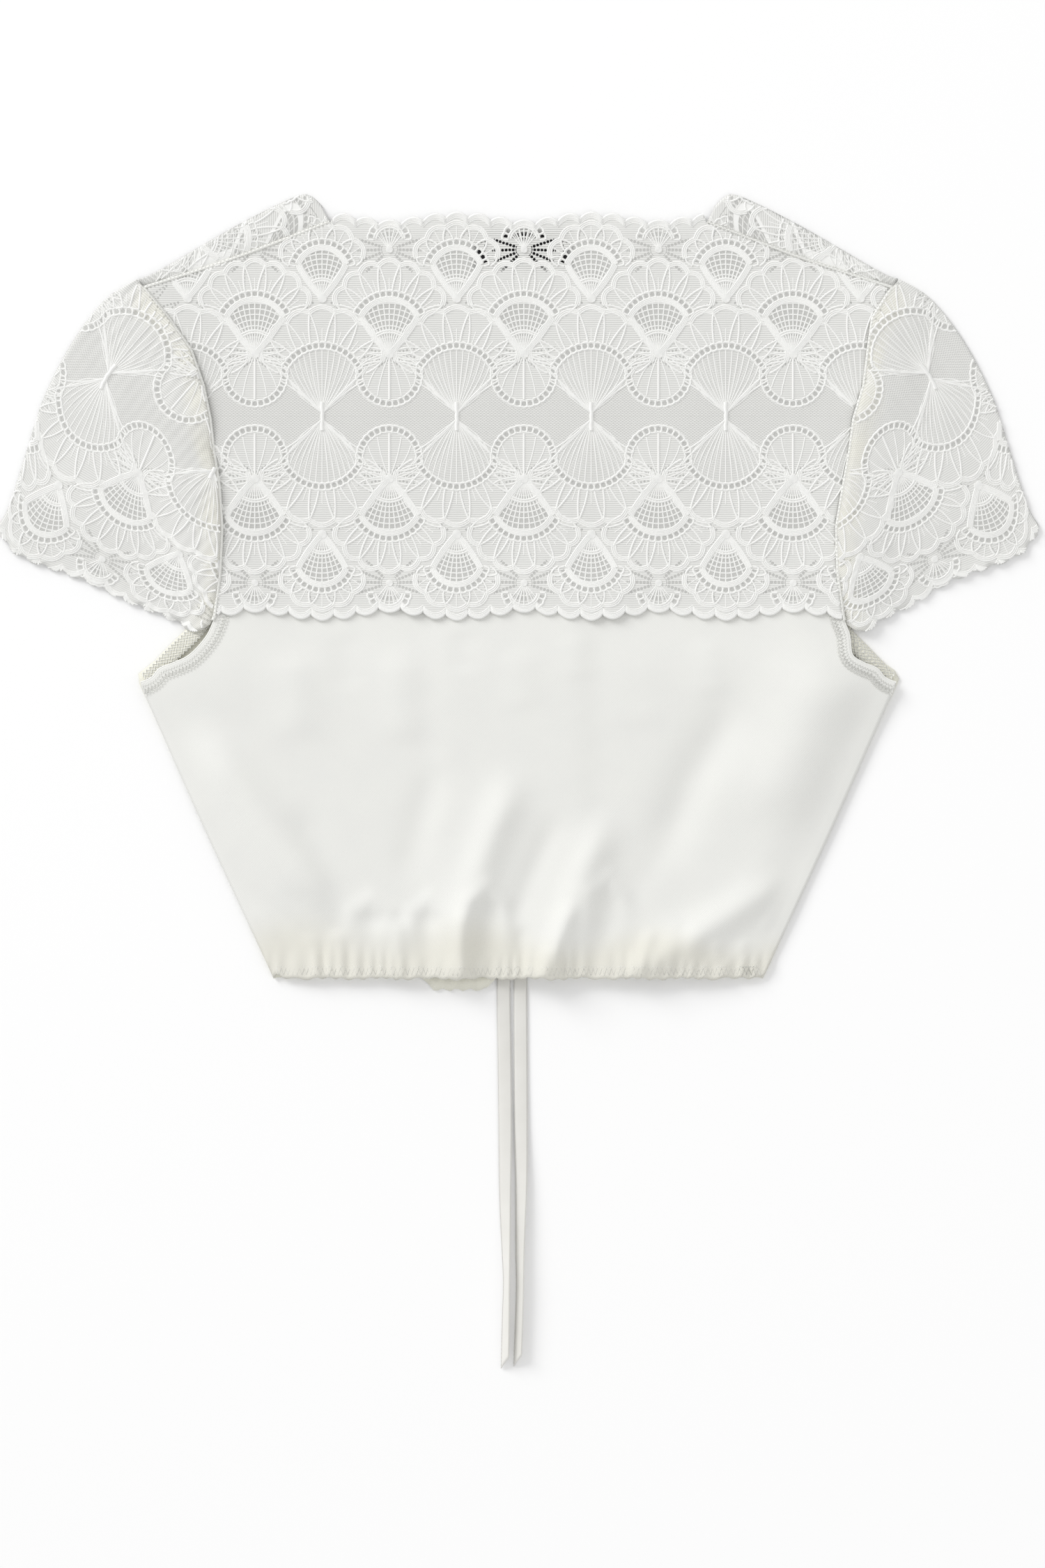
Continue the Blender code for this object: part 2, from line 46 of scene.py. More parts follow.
# Lengths below are millimetres, as on a pattern sheet: y runs up from the hem line, x from the middle.
mm = 0.001
halfLength = 204.6
laceAxisY = 298.3
armholeHeights = (181.0, 192.4, 215.0, 239.0, 260.9, 279.7, 296.7, 314.5, 333.4, 350.4, 366.4)
armholeReach = {
    "left": (166.6, 160.9, 158.4, 157.3, 158.7, 161.7, 163.5, 167.2, 173.8, 185.7, 198.7),
    "right": (175.6, 172.2, 169.6, 168.8, 172.4, 175.8, 178.0, 183.4, 185.6, 188.0, 198.2),
}
sides = {"left": -1, "right": 1}


def smooth(low, high, value):
    t = np.clip((np.asarray(value, float) - low) / (high - low), 0.0, 1.0)
    return t * t * (3 - 2 * t)


def armhole(side, y):
    return np.interp(y, armholeHeights, armholeReach[side])


def splinePath(points, count):
    # Evenly spread samples on a smooth curve through given points.
    points = np.asarray(points, float)
    padded = np.vstack([points[:1], points, points[-1:]])
    t = np.linspace(0, len(points) - 1, 24 * len(points))
    k = np.minimum(t.astype(int), len(points) - 2)
    f = (t - k)[:, None]
    a, b, c, d = (padded[k + i] for i in range(4))
    path = 0.5 * (2 * b + (c - a) * f + (2 * a - 5 * b + 4 * c - d) * f**2 + (3 * b - a - 3 * c + d) * f**3)
    along = np.concatenate([[0], np.cumsum(np.linalg.norm(np.diff(path, axis=0), axis=1))])
    marks = np.linspace(0, along[-1], count)
    return np.column_stack([np.interp(marks, along, path[:, i]) for i in range(path.shape[1])])


def nearestOn(x, y, path):
    # Distance from each place to a path, and the share of the path where that is.
    best = np.full(np.shape(x), 1e9)
    place = np.zeros(np.shape(x))
    lengths = np.linalg.norm(np.diff(path, axis=0), axis=1)
    starts = np.concatenate([[0], np.cumsum(lengths)])
    for (ax, ay), (bx, by), length, start in zip(path, path[1:], lengths, starts):
        t = np.clip(((x - ax) * (bx - ax) + (y - ay) * (by - ay)) / max(length**2, 1e-9), 0, 1)
        reach = np.hypot(x - ax - t * (bx - ax), y - ay - t * (by - ay))
        closer = reach < best
        best = np.where(closer, reach, best)
        place = np.where(closer, start + t * length, place)
    return best, place / starts[-1]


def topOfSolid(node, step=3.0, passes=3):
    # The upper face of a CAD solid as a softened height field, in pattern millimetres.
    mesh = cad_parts[node].data
    tree = BVHTree.FromPolygons([v.co[:] for v in mesh.vertices], [p.vertices[:] for p in mesh.polygons])
    low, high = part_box(node)
    xs = np.arange(low[0] / mm - 2 * step, high[0] / mm + 3 * step, step)
    ys = np.arange(low[1] / mm - 2 * step, high[1] / mm + 3 * step, step)
    field = np.full((len(ys), len(xs)), np.nan)
    for j, y in enumerate(ys):
        for i, x in enumerate(xs):
            hit = tree.ray_cast(Vector((x * mm, y * mm, 0.1)), Vector((0, 0, -1)))
            if hit[0] is not None:
                field[j, i] = hit[0].z / mm
    known = ~np.isnan(field)
    while not known.all():
        padded = np.pad(np.where(known, field, 0), 1)
        weight = np.pad(known.astype(float), 1)
        total = sum(np.roll(padded, s, (0, 1)) for s in ((0, 1), (0, -1), (1, 0), (-1, 0)))[1:-1, 1:-1]
        share = sum(np.roll(weight, s, (0, 1)) for s in ((0, 1), (0, -1), (1, 0), (-1, 0)))[1:-1, 1:-1]
        grow = ~known & (share > 0)
        field[grow] = total[grow] / share[grow]
        known |= grow
    for _ in range(passes):
        padded = np.pad(field, 1, mode="edge")
        field = (padded[:-2, 1:-1] + padded[2:, 1:-1] + padded[1:-1, :-2] + padded[1:-1, 2:] + 2 * field) / 6

    def height(x, y):
        u = np.clip((np.asarray(x, float) - xs[0]) / step, 0, len(xs) - 1.001)
        v = np.clip((np.asarray(y, float) - halfLength - ys[0]) / step, 0, len(ys) - 1.001)
        i, j = u.astype(int), v.astype(int)
        fu, fv = u - i, v - j
        return ((field[j, i] * (1 - fu) + field[j, i + 1] * fu) * (1 - fv)
                + (field[j + 1, i] * (1 - fu) + field[j + 1, i + 1] * fu) * fv)
    return height


def newObject(name, mesh, material):
    piece = bpy.data.objects.new(name, mesh)
    bpy.context.scene.collection.objects.link(piece)
    if material and not mesh.materials:
        mesh.materials.append(material)
    for polygon in mesh.polygons:
        polygon.use_smooth = True
    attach(piece, "root")
    return piece


def clothGrid(name, x, y, z, material, thick=0.5, uv=None, fields=None):
    # A sheet from three arrays of places, given its thickness as a closed shell; uv is in millimetres of pattern.
    rows, columns = x.shape
    places = np.column_stack([x.ravel() * mm, (y.ravel() - halfLength) * mm, z.ravel() * mm])
    faces = []
    for j in range(rows - 1):
        for i in range(columns - 1):
            a = j * columns + i
            faces.append((a, a + 1, a + columns + 1, a + columns))
    mesh = bpy.data.meshes.new(name)
    mesh.from_pydata(places.tolist(), [], faces)
    if mesh.polygons[len(faces) // 2].normal.z < 0 and "Folded" not in name:
        mesh.flip_normals()
    if uv is not None:
        layer = mesh.uv_layers.new(name="pattern")
        index = np.zeros(len(mesh.loops), int)
        mesh.loops.foreach_get("vertex_index", index)
        flat = np.column_stack([uv[0].ravel()[index], uv[1].ravel()[index]])
        layer.data.foreach_set("uv", flat.ravel())
    for key, values in (fields or {}).items():
        mesh.attributes.new(key, "FLOAT", "POINT").data.foreach_set("value", values.ravel().astype(np.float32))
    piece = newObject(name, mesh, material)
    shell = piece.modifiers.new("thickness", "SOLIDIFY")
    shell.thickness = thick * mm
    shell.offset = 0.0
    return piece


def patch(low, high, left, right):
    # A grid of places blended between four border paths; rows run from low to high and columns from left to right.
    columns, rows = len(low), len(left)
    a = np.linspace(0, 1, columns)[None, :, None]
    b = np.linspace(0, 1, rows)[:, None, None]
    grid = (1 - b) * low[None] + b * high[None] + (1 - a) * left[:, None] + a * right[:, None]
    corners = (1 - a) * (1 - b) * low[0] + a * (1 - b) * low[-1] + (1 - a) * b * high[0] + a * b * high[-1]
    grid = grid - corners
    return grid[:, :, 0], grid[:, :, 1]


def resample(path, count, crowd=1.0):
    # The path at even steps; a crowd over 1 sets the first steps closer.
    along = np.concatenate([[0], np.cumsum(np.linalg.norm(np.diff(path, axis=0), axis=1))])
    marks = along[-1] * np.linspace(0, 1, count) ** crowd
    return np.column_stack([np.interp(marks, along, path[:, i]) for i in (0, 1)])


def onSide(side, points):
    # Places given outwards from the middle, on the wearer's left or right.
    return np.column_stack([sides[side] * points[:, 0], points[:, 1]])


# Shader groups that several materials share.
def addGroup(name, inputs, outputs):
    group = bpy.data.node_groups.new(name, "ShaderNodeTree")
    for label, value in inputs:
        kind = "NodeSocketVector" if value is None else "NodeSocketFloat"
        socket = group.interface.new_socket(label, in_out="INPUT", socket_type=kind)
        if value is not None:
            socket.default_value = value
    for label, kind in outputs:
        group.interface.new_socket(label, in_out="OUTPUT", socket_type=kind)
    return group, group.nodes.new("NodeGroupInput"), group.nodes.new("NodeGroupOutput")


def mathNode(nodes, links, kind, a, b=None, clamp=False):
    node = nodes.new("ShaderNodeMath")
    node.operation = kind
    node.use_clamp = clamp
    for socket, value in zip(node.inputs, (a, b)):
        if value is None:
            continue
        if isinstance(value, (int, float)):
            socket.default_value = value
        else:
            links.new(value, socket)
    return node.outputs[0]


def weaveGroup():
    # Plain weave: two crossed sets of threads, and a slow unevenness of the cloth.
    group, given, made = addGroup(
        "plainWeave", (("Place", None), ("Threads per metre", 1400.0), ("Unevenness", 0.5)),
        (("Height", "NodeSocketFloat"), ("Shade", "NodeSocketFloat")),
    )
    nodes, links = group.nodes, group.links
    split = nodes.new("ShaderNodeSeparateXYZ")
    links.new(given.outputs["Place"], split.inputs[0])
    waves = []
    for axis in (0, 1):
        turn = mathNode(nodes, links, "MULTIPLY", split.outputs[axis], given.outputs["Threads per metre"])
        waves.append(mathNode(nodes, links, "SINE", mathNode(nodes, links, "MULTIPLY", turn, math.pi)))
    weave = mathNode(nodes, links, "MULTIPLY", waves[0], waves[1])
    noise = nodes.new("ShaderNodeTexNoise")
    noise.inputs["Scale"].default_value = 60.0
    noise.inputs["Detail"].default_value = 5.0
    links.new(given.outputs["Place"], noise.inputs["Vector"])
    uneven = mathNode(nodes, links, "MULTIPLY", noise.outputs["Fac"], given.outputs["Unevenness"])
    links.new(mathNode(nodes, links, "ADD", mathNode(nodes, links, "MULTIPLY", weave, 0.25), uneven), made.inputs["Height"])
    links.new(noise.outputs["Fac"], made.inputs["Shade"])
    return group


weave = weaveGroup()


def clothMaterial(name, look):
    # Woven cloth whose colour, sheen and bump come from one dictionary.
    material = bpy.data.materials.new(name)
    material.use_nodes = True
    nodes, links = material.node_tree.nodes, material.node_tree.links
    shader = nodes["Principled BSDF"]
    shader.inputs["Roughness"].default_value = look["roughness"]
    shader.inputs["Sheen Weight"].default_value = look.get("sheen", 0.15)
    shader.inputs["Specular IOR Level"].default_value = look.get("specular", 0.25)
    shader.inputs["Anisotropic"].default_value = look.get("anisotropic", 0.0)
    place = nodes.new("ShaderNodeTexCoord")
    cloth = nodes.new("ShaderNodeGroup")
    cloth.node_tree = weave
    cloth.inputs["Threads per metre"].default_value = look["threads"]
    cloth.inputs["Unevenness"].default_value = look.get("unevenness", 0.5)
    links.new(place.outputs["Object"], cloth.inputs["Place"])
    ramp = nodes.new("ShaderNodeMix")
    ramp.data_type = "RGBA"
    ramp.inputs["A"].default_value = (*look["shade"], 1)
    ramp.inputs["B"].default_value = (*look["colour"], 1)
    links.new(cloth.outputs["Shade"], ramp.inputs["Factor"])
    links.new(ramp.outputs["Result"], shader.inputs["Base Color"])
    # An optional tint laid on by an attribute: at the back's hem it is partly doubled cloth and partly painted shade,
    # on the sleeves it is the cream strip under the lace.
    if "tint" in look:
        tinted = nodes.new("ShaderNodeMix")
        tinted.data_type = "RGBA"
        tinted.inputs["B"].default_value = (*look["tint"], 1)
        amount = nodes.new("ShaderNodeAttribute")
        amount.attribute_name = "creamAndShadeTint"
        links.new(amount.outputs["Fac"], tinted.inputs["Factor"])
        links.new(ramp.outputs["Result"], tinted.inputs["A"])
        links.new(tinted.outputs["Result"], shader.inputs["Base Color"])
    bump = nodes.new("ShaderNodeBump")
    bump.inputs["Strength"].default_value = look.get("bump", 0.35)
    bump.inputs["Distance"].default_value = look.get("depth", 0.0003)
    links.new(cloth.outputs["Height"], bump.inputs["Height"])
    links.new(bump.outputs["Normal"], shader.inputs["Normal"])
    return material


# The tint colour darkens the back cotton near its hem: partly the doubled cloth there, partly painted shade.
cottonLook = {
    "colour": (0.825, 0.825, 0.79), "shade": (0.785, 0.785, 0.76), "tint": (0.735, 0.72, 0.645), "roughness": 0.82,
    "threads": 1500.0,
}
creamLook = {"colour": (0.79, 0.785, 0.71), "shade": (0.72, 0.71, 0.62), "roughness": 0.88, "threads": 1500.0}
# The elastic's colour is partly its own cream and partly painted light, raised against the shade under the back panel.
elasticLook = {"colour": (0.86, 0.85, 0.76), "shade": (0.80, 0.79, 0.69), "roughness": 0.75, "threads": 700.0}
labelLook = {"colour": (0.022, 0.022, 0.026), "shade": (0.014, 0.014, 0.017), "roughness": 0.6, "threads": 2200.0}
tabLook = {"colour": (0.84, 0.84, 0.83), "shade": (0.8, 0.8, 0.79), "roughness": 0.5, "threads": 2500.0}
satinLook = {
    "colour": (0.80, 0.79, 0.755), "shade": (0.71, 0.70, 0.66), "roughness": 0.34, "threads": 2600.0,
    "sheen": 0.3, "specular": 0.5, "anisotropic": 0.6, "bump": 0.12,
}
threadLook = {"colour": (0.90, 0.90, 0.87), "shade": (0.87, 0.87, 0.83), "roughness": 0.7, "threads": 3000.0}
# The inside cotton is coloured lighter than the outer cotton, as painted light against the shade under the back panel.
insideLook = {"colour": (0.88, 0.87, 0.77), "shade": (0.86, 0.85, 0.75), "roughness": 0.85, "threads": 1500.0}
cotton = clothMaterial("whiteCotton", cottonLook)
insideCotton = clothMaterial("insideCotton", insideLook)
creamCotton = clothMaterial("creamCotton", creamLook)
elastic = clothMaterial("elasticBand", elasticLook)
labelCloth = clothMaterial("darkLabel", labelLook)
tabCloth = clothMaterial("paleTab", tabLook)
satin = clothMaterial("ribbonSatin", satinLook)
sewingThread = clothMaterial("sewingThread", threadLook)
print("materials ready")


# Geometry Nodes tree that lays a thread of a given radius along every edge line of a mesh.
def threadTree(name, material):
    tree = bpy.data.node_groups.new(name, "GeometryNodeTree")
    tree.interface.new_socket("Geometry", in_out="INPUT", socket_type="NodeSocketGeometry")
    for label, value, kind in (("Radius", 0.0003, "NodeSocketFloat"), ("Corners", 4, "NodeSocketInt")):
        socket = tree.interface.new_socket(label, in_out="INPUT", socket_type=kind)
        socket.default_value = value
    tree.interface.new_socket("Geometry", in_out="OUTPUT", socket_type="NodeSocketGeometry")
    nodes, links = tree.nodes, tree.links
    given, made = nodes.new("NodeGroupInput"), nodes.new("NodeGroupOutput")
    lines = nodes.new("GeometryNodeMeshToCurve")
    weight = nodes.new("GeometryNodeInputNamedAttribute")
    weight.data_type = "FLOAT"
    weight.inputs["Name"].default_value = "weight"
    setRadius = nodes.new("GeometryNodeSetCurveRadius")
    profile = nodes.new("GeometryNodeCurvePrimitiveCircle")
    tubes = nodes.new("GeometryNodeCurveToMesh")
    tubes.inputs["Fill Caps"].default_value = True
    if "Scale" in tubes.inputs:
        links.new(weight.outputs["Attribute"], tubes.inputs["Scale"])
    realise = nodes.new("GeometryNodeRealizeInstances")
    paint = nodes.new("GeometryNodeSetMaterial")
    paint.inputs["Material"].default_value = material
    links.new(given.outputs["Geometry"], lines.inputs["Mesh"])
    links.new(lines.outputs["Curve"], setRadius.inputs["Curve"])
    links.new(weight.outputs["Attribute"], setRadius.inputs["Radius"])
    links.new(given.outputs["Radius"], profile.inputs["Radius"])
    links.new(given.outputs["Corners"], profile.inputs["Resolution"])
    links.new(setRadius.outputs["Curve"], tubes.inputs["Curve"])
    links.new(profile.outputs["Curve"], tubes.inputs["Profile Curve"])
    links.new(tubes.outputs["Mesh"], realise.inputs["Geometry"])
    links.new(realise.outputs["Geometry"], paint.inputs["Geometry"])
    links.new(paint.outputs["Geometry"], made.inputs["Geometry"])
    return tree


def layThreads(name, lines, tree, radius, corners=4):
    # lines holds (places in pattern millimetres, weight of the thread) pairs.
    places, edges, weights = [], [], []
    for path, weight in lines:
        start = len(places)
        places.extend((x * mm, (y - halfLength) * mm, z * mm) for x, y, z in path)
        edges.extend((start + i, start + i + 1) for i in range(len(path) - 1))
        weights.extend([weight] * len(path))
    mesh = bpy.data.meshes.new(name)
    mesh.from_pydata(places, edges, [])
    mesh.attributes.new("weight", "FLOAT", "POINT").data.foreach_set("value", weights)
    guide = bpy.data.objects.new(name + "Guide", mesh)
    bpy.context.scene.collection.objects.link(guide)
    worker = guide.modifiers.new("threads", "NODES")
    worker.node_group = tree
    for item in tree.interface.items_tree:
        if item.in_out == "INPUT" and item.name == "Radius":
            worker[item.identifier] = radius * mm
        if item.in_out == "INPUT" and item.name == "Corners":
            worker[item.identifier] = corners
    done = bpy.data.meshes.new_from_object(guide.evaluated_get(bpy.context.evaluated_depsgraph_get()))
    done.name = name
    bpy.data.objects.remove(guide)
    return newObject(name, done, None)


sewingTree = threadTree("sewingThreads", sewingThread)

# Camera straight above the back, where the photograph was taken from.
view = {"frameLength": 0.8325, "centre": (0.0022, -0.1014), "height": 3.2, "sensor": 36.0}
camera = bpy.data.objects.new("Camera", bpy.data.cameras.new("Camera"))
camera.data.sensor_width = view["sensor"]
camera.data.lens = view["sensor"] * view["height"] / view["frameLength"]
camera.location = (*view["centre"], view["height"])
bpy.context.scene.collection.objects.link(camera)
bpy.context.scene.camera = camera

# Plain floor and soft studio light.
studio = {
    "floorSize": 12.0, "floorColour": (0.97, 0.97, 0.97), "sky": 0.70,
    "keyPlace": (-5.0, 4.4, 3.6), "keySize": 3.6, "keyPower": 330.0,
    "fillPlace": (1.8, -1.0, 2.2), "fillSize": 2.4, "fillPower": 10.0,
}


def addStudio():
    half = studio["floorSize"] / 2
    mesh = bpy.data.meshes.new("floor")
    mesh.from_pydata([(-half, -half, 0), (half, -half, 0), (half, half, 0), (-half, half, 0)], [], [(0, 1, 2, 3)])
    floor = bpy.data.objects.new("floor", mesh)
    floor.location.z = -0.0004
    material = bpy.data.materials.new("paleFloor")
    material.use_nodes = True
    shader = material.node_tree.nodes["Principled BSDF"]
    shader.inputs["Base Color"].default_value = (*studio["floorColour"], 1)
    shader.inputs["Roughness"].default_value = 0.9
    shader.inputs["Specular IOR Level"].default_value = 0.1
    mesh.materials.append(material)
    bpy.context.scene.collection.objects.link(floor)
    for name in ("key", "fill"):
        lamp = bpy.data.lights.new(name, "AREA")
        lamp.size = studio[name + "Size"]
        lamp.energy = studio[name + "Power"]
        holder = bpy.data.objects.new(name, lamp)
        holder.location = studio[name + "Place"]
        holder.rotation_euler = (-Vector(studio[name + "Place"])).to_track_quat("-Z", "Y").to_euler()
        bpy.context.scene.collection.objects.link(holder)
    world = bpy.data.worlds.new("studio")
    world.use_nodes = True
    sky = world.node_tree.nodes["Background"]
    sky.inputs["Color"].default_value = (1, 1, 1, 1)
    sky.inputs["Strength"].default_value = studio["sky"]
    bpy.context.scene.world = world
    bpy.context.scene.view_settings.view_transform = "Standard"


addStudio()
print("studio ready")

# The two satin tie ends, with the places that they pass: y, x of the middle, turn on edge in degrees.
ribbon = {"width": 6.6, "thick": 0.35, "step": 2.2, "across": 9, "cutSlant": 6.0, "picotPitch": 1.6, "picotReach": 0.45,
          "narrowing": 0.12}
ribbonRoutes = {
    "left": ((194, -7.6, 0), (100, -7.8, 0), (0, -7.8, 0), (-40, -7.3, 0), (-80, -6.9, 8), (-120, -6.9, 28),
             (-158, -6.3, 58), (-180, -6.6, 54), (-204, -7.1, 50)),
    "right": ((194, 1.4, 0), (100, 1.2, 0), (0, 1.1, 0), (-40, 1.3, 0), (-80, 1.5, 6), (-110, 1.6, 24),
              (-144, 0.9, 44), (-167, 0.8, 52), (-203, -0.4, 50)),
}


def addRibbon(side):
    route = splinePath(ribbonRoutes[side], int(400 / ribbon["step"]))
    across = np.linspace(-1, 1, ribbon["across"])[None, :]
    y, x, turn = route[:, 0:1], route[:, 1:2], np.radians(np.clip(route[:, 2:3], 0, 60))
    half = ribbon["width"] / 2 * (1 - ribbon["narrowing"] * smooth(-60, -150, y))
    crown = 0.25 * (1 - across**2)
    px = x + across * half * np.cos(turn) - crown * np.sin(turn)
    pz = 0.55 + half * np.sin(turn) + across * half * np.sin(turn) + crown * np.cos(turn)
    end = smooth(-190, -204, y)
    py = y + across * ribbon["cutSlant"] / 2 * end + 0 * px
    strip = clothGrid(f"ribbon{side.title()}", px, py, pz, satin, ribbon["thick"], uv=(px, py))
    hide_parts(f"ribbon_{side}")
    lines = []
    for edge in (0, -1):
        count = int(400 / ribbon["picotPitch"]) * 2
        marks = np.linspace(0, len(y) - 1.001, count)
        row = marks.astype(int)
        f = marks - row
        ex, ey, ez = (g[row, edge] * (1 - f) + g[row + 1, edge] * f for g in (px, py, pz))
        swing = (np.arange(count) % 2) * ribbon["picotReach"] * (1 if edge else -1)
        lines.append((np.column_stack([ex + swing, ey, ez]), 1.0))
    picots = layThreads(f"ribbonPicots{side.title()}", lines, satinTree, 0.16)


satinTree = threadTree("satinThreads", satin)
for side in sides:
    addRibbon(side)
print("ribbons laid")

# Cotton panels of the bodice.
bodice = {
    "topY": 201.0, "hemHalf": 129.8, "puckerPitch": 7.3, "puckerHeight": 1.3, "hemBand": 6.8,
    "rollIn": 4.0, "frillCentre": -31.5, "frillHalf": 21.0, "frillDrop": 6.2, "wall": 0.6,
}
backArmhole = ((158.6, 201.0), (160.3, 192.4), (165.6, 181.0), (174.2, 171.6), (183.2, 167.2), (190.2, 164.4),
               (194.5, 159.6), (200.9, 156.6))
frontArmhole = ((164.0, 199.0), (176.9, 185.0), (185.8, 176.4), (194.6, 167.2), (201.6, 162.2), (202.2, 158.3))
# Smaller creases that the cotton shows between its main folds: path, half width, height (under 0 a trough).
creases = (
    (((2, 115), (-13, 78), (-28, 38), (-31, 6)), 8, 2.2), (((50, 91), (29, 40), (14, 4)), 8, 2.4),
    (((147, 56), (108, 31), (66, 6)), 8, 2.6), (((-178, 140), (-138, 88), (-92, 26)), 11, 2.0),
    (((172, 178), (150, 130), (126, 76)), 16, 1.8), (((120, 150), (92, 104), (74, 56)), 10, -1.6),
    (((-40, 120), (-52, 84), (-62, 44)), 9, -1.4), (((24, 92), (6, 52), (-6, 20)), 7, -1.6),
    (((84, 76), (58, 42), (40, 12)), 8, -0.6), (((-120, 96), (-104, 62), (-88, 32)), 9, -1.2),
    (((-78, 38), (-79, 3)), 6.5, -1.8), (((-47, 38), (-49, 3)), 6, -1.8), (((-17, 45), (-19, 3)), 7, -2.2),
    (((48, 50), (44, 3)), 7, -1.8), (((-93, 12), (-88, 35), (-78, 42), (-69, 35), (-65, 12)), 5, 1.3),
    (((-60, 10), (-56, 35), (-47, 42), (-39, 35), (-34, 10)), 4.6, 1.4),
    (((-30, 10), (-26, 40), (-16, 49), (-8, 40), (-5, 8)), 5, 1.8),
    (((34, 14), (39, 45), (48, 54), (56, 44), (60, 24)), 5, 1.4), (((89, 34), (84, 3)), 5, -1.5), (((-63, 34), (-64, 3)), 4, 1.6),
    (((-31, 40), (-31, 3)), 4.5, 2.2), (((30, 44), (15, 3)), 4.5, 1.8), (((2, 30), (1, 3)), 4, -1.2),
    (((72, 28), (62, 3)), 4, 1.6), (((-96, 28), (-96, 3)), 4.5, 1.4), (((-111, 26), (-108, 3)), 4, 0.8),
    (((104, 22), (106, 3)), 3.5, 1.1), (((118, 22), (121, 3)), 3.5, 0.9), (((16, 18), (17, 3)), 3, 1.0),
    (((-158, 58), (-118, 26), (-96, 4)), 5, -1.0), (((-146, 34), (-120, 12), (-112, 3)), 4, -0.6),
    (((-128, 50), (-96, 28), (-82, 10)), 8, -0.9), (((150, 50), (126, 22)), 4, 1.0), (((160, 62), (134, 28)), 4, -1.1), (((-152, 52), (-126, 18)), 4, 1.0),
    (((-162, 66), (-140, 32)), 4, -1.0), (((0, 178), (2, 138)), 10, 0.7), (((-62, 180), (-60, 120)), 11, 0.7),
    (((100, 184), (104, 146)), 9, 0.7), (((-118, 178), (-116, 124)), 11, 0.6), (((-30, 186), (-30, 160)), 8, -0.6),
    (((-92, 186), (-90, 150)), 9, -0.6), (((30, 186), (32, 156)), 8, 0.5), (((60, 182), (62, 134)), 10, -0.5),
)


def creaseHeights(x, y):
    total = np.zeros(np.shape(x))
    for path, width, height in creases:
        reach, along = nearestOn(x, y, np.asarray(path, float))
        runsOut = 1.0 if path[-1][1] < 8 else smooth(0, 0.3, 1 - along)
        total = total + height * smooth(0, 0.3, along) * runsOut * np.exp(-((reach / width) ** 2))
    return total


def bodiceSide(side, outline, corner, low, high, rows):
    # One side border from the hem up: straight side seam, then the armhole.
    shift = armhole(side, 192.4) - armhole("left", 192.4)
    arm = splinePath(outline, 40)[::-1]
    arm[:, 0] += shift * smooth(low, high, arm[:, 1])
    seam = splinePath(((bodice["hemHalf"], 0.0), corner, tuple(arm[0])), 40)
    return onSide(side, resample(np.vstack([seam[:-1], arm]), rows))


def puckerTurn(x):
    # Where a place lies in the run of the hem's gathers, which are drawn up unevenly.
    return 2 * np.pi * (x + 2.4 * np.sin(x / 12.0) + 1.3 * np.sin(x / 5.1 + 1.0)) / bodice["puckerPitch"]


def hemPuckers(x, y):
    uneven = 0.75 + 0.25 * np.sin(x / 17.0 + 0.8)
    fade = 1 - smooth(bodice["hemBand"], 17 + 7 * np.sin(x / 21.0), y)
    return 0.5 * bodice["puckerHeight"] * uneven * np.cos(puckerTurn(x)) * fade


def addBackBodice():
    columns, rows = 190, 100
    left = bodiceSide("left", backArmhole, (166.0, 78.0), 165, 185, rows)
    right = bodiceSide("right", backArmhole, (166.0, 78.0), 165, 185, rows)
    hemX = np.linspace(-bodice["hemHalf"], bodice["hemHalf"], columns)
    corner = 3.0 * np.exp(-((bodice["hemHalf"] - np.abs(hemX)) / 2.5))
    hem = np.column_stack([hemX, corner + 0.6 * np.cos(puckerTurn(hemX)) + 0.4 * np.sin(hemX / 4.3)])
    hem[0], hem[-1] = left[0], right[0]
    top = np.column_stack([np.linspace(left[-1, 0], right[-1, 0], columns), np.full(columns, bodice["topY"])])
    x, y = patch(hem, top, left, right)
    inward = np.minimum(nearestOn(x, y, left)[0], nearestOn(x, y, right)[0])
    z = topOfSolid("back_bodice")(x, y) - 0.5 + hemPuckers(x, y) + creaseHeights(x, y) * smooth(0, 20, inward)
    z = z - 0.35 * (1 - smooth(0, bodice["rollIn"], inward))
    # Painted shade mixed with real colour: the back cotton turns darker and creamier towards the hem, partly for the
    # doubled cloth there and partly as painted shade of its gathers.
    hemDoublingAndShade = 0.85 * (1 - smooth(10, 36 - 8 * smooth(-60, 60, x), y + 5 * np.sin(x / 15.0)))
    return clothGrid("backBodice", x, y, z, cotton, bodice["wall"], uv=(x, y), fields={"creamAndShadeTint": hemDoublingAndShade})


def addFrontBodice():
    columns, rows = 120, 40
    left = bodiceSide("left", frontArmhole, (164.6, 78.0), 186, 199, rows)
    right = bodiceSide("right", frontArmhole, (164.6, 78.0), 186, 199, rows)
    hemX = np.linspace(-bodice["hemHalf"], bodice["hemHalf"], columns)
    frill = 1 - smooth(bodice["frillHalf"] * 0.6, bodice["frillHalf"], np.abs(hemX - bodice["frillCentre"]))
    wave = 0.5 + 0.5 * np.cos(2 * np.pi * hemX / bodice["puckerPitch"])
    hem = np.column_stack([hemX, 0.6 - frill * (bodice["frillDrop"] - 0.4 + 1.6 * wave)])
    hem[0], hem[-1] = left[0], right[0]
    top = np.column_stack([np.linspace(left[-1, 0], right[-1, 0], columns), np.full(columns, 199.0)])
    x, y = patch(hem, top, left, right)
    z = np.maximum(topOfSolid("front_bodice")(x, y) - 0.5, 0.42)
    z = z + 0.35 * (0.5 + 0.5 * np.cos(2 * np.pi * x / bodice["puckerPitch"])) * (1 - smooth(2, 8, y))
    return clothGrid("frontBodice", x, y, z, insideCotton, bodice["wall"], uv=(x, y))


backBodice = addBackBodice()
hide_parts("back_bodice")
frontBodice = addFrontBodice()
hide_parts("front_bodice")
print("bodice made")

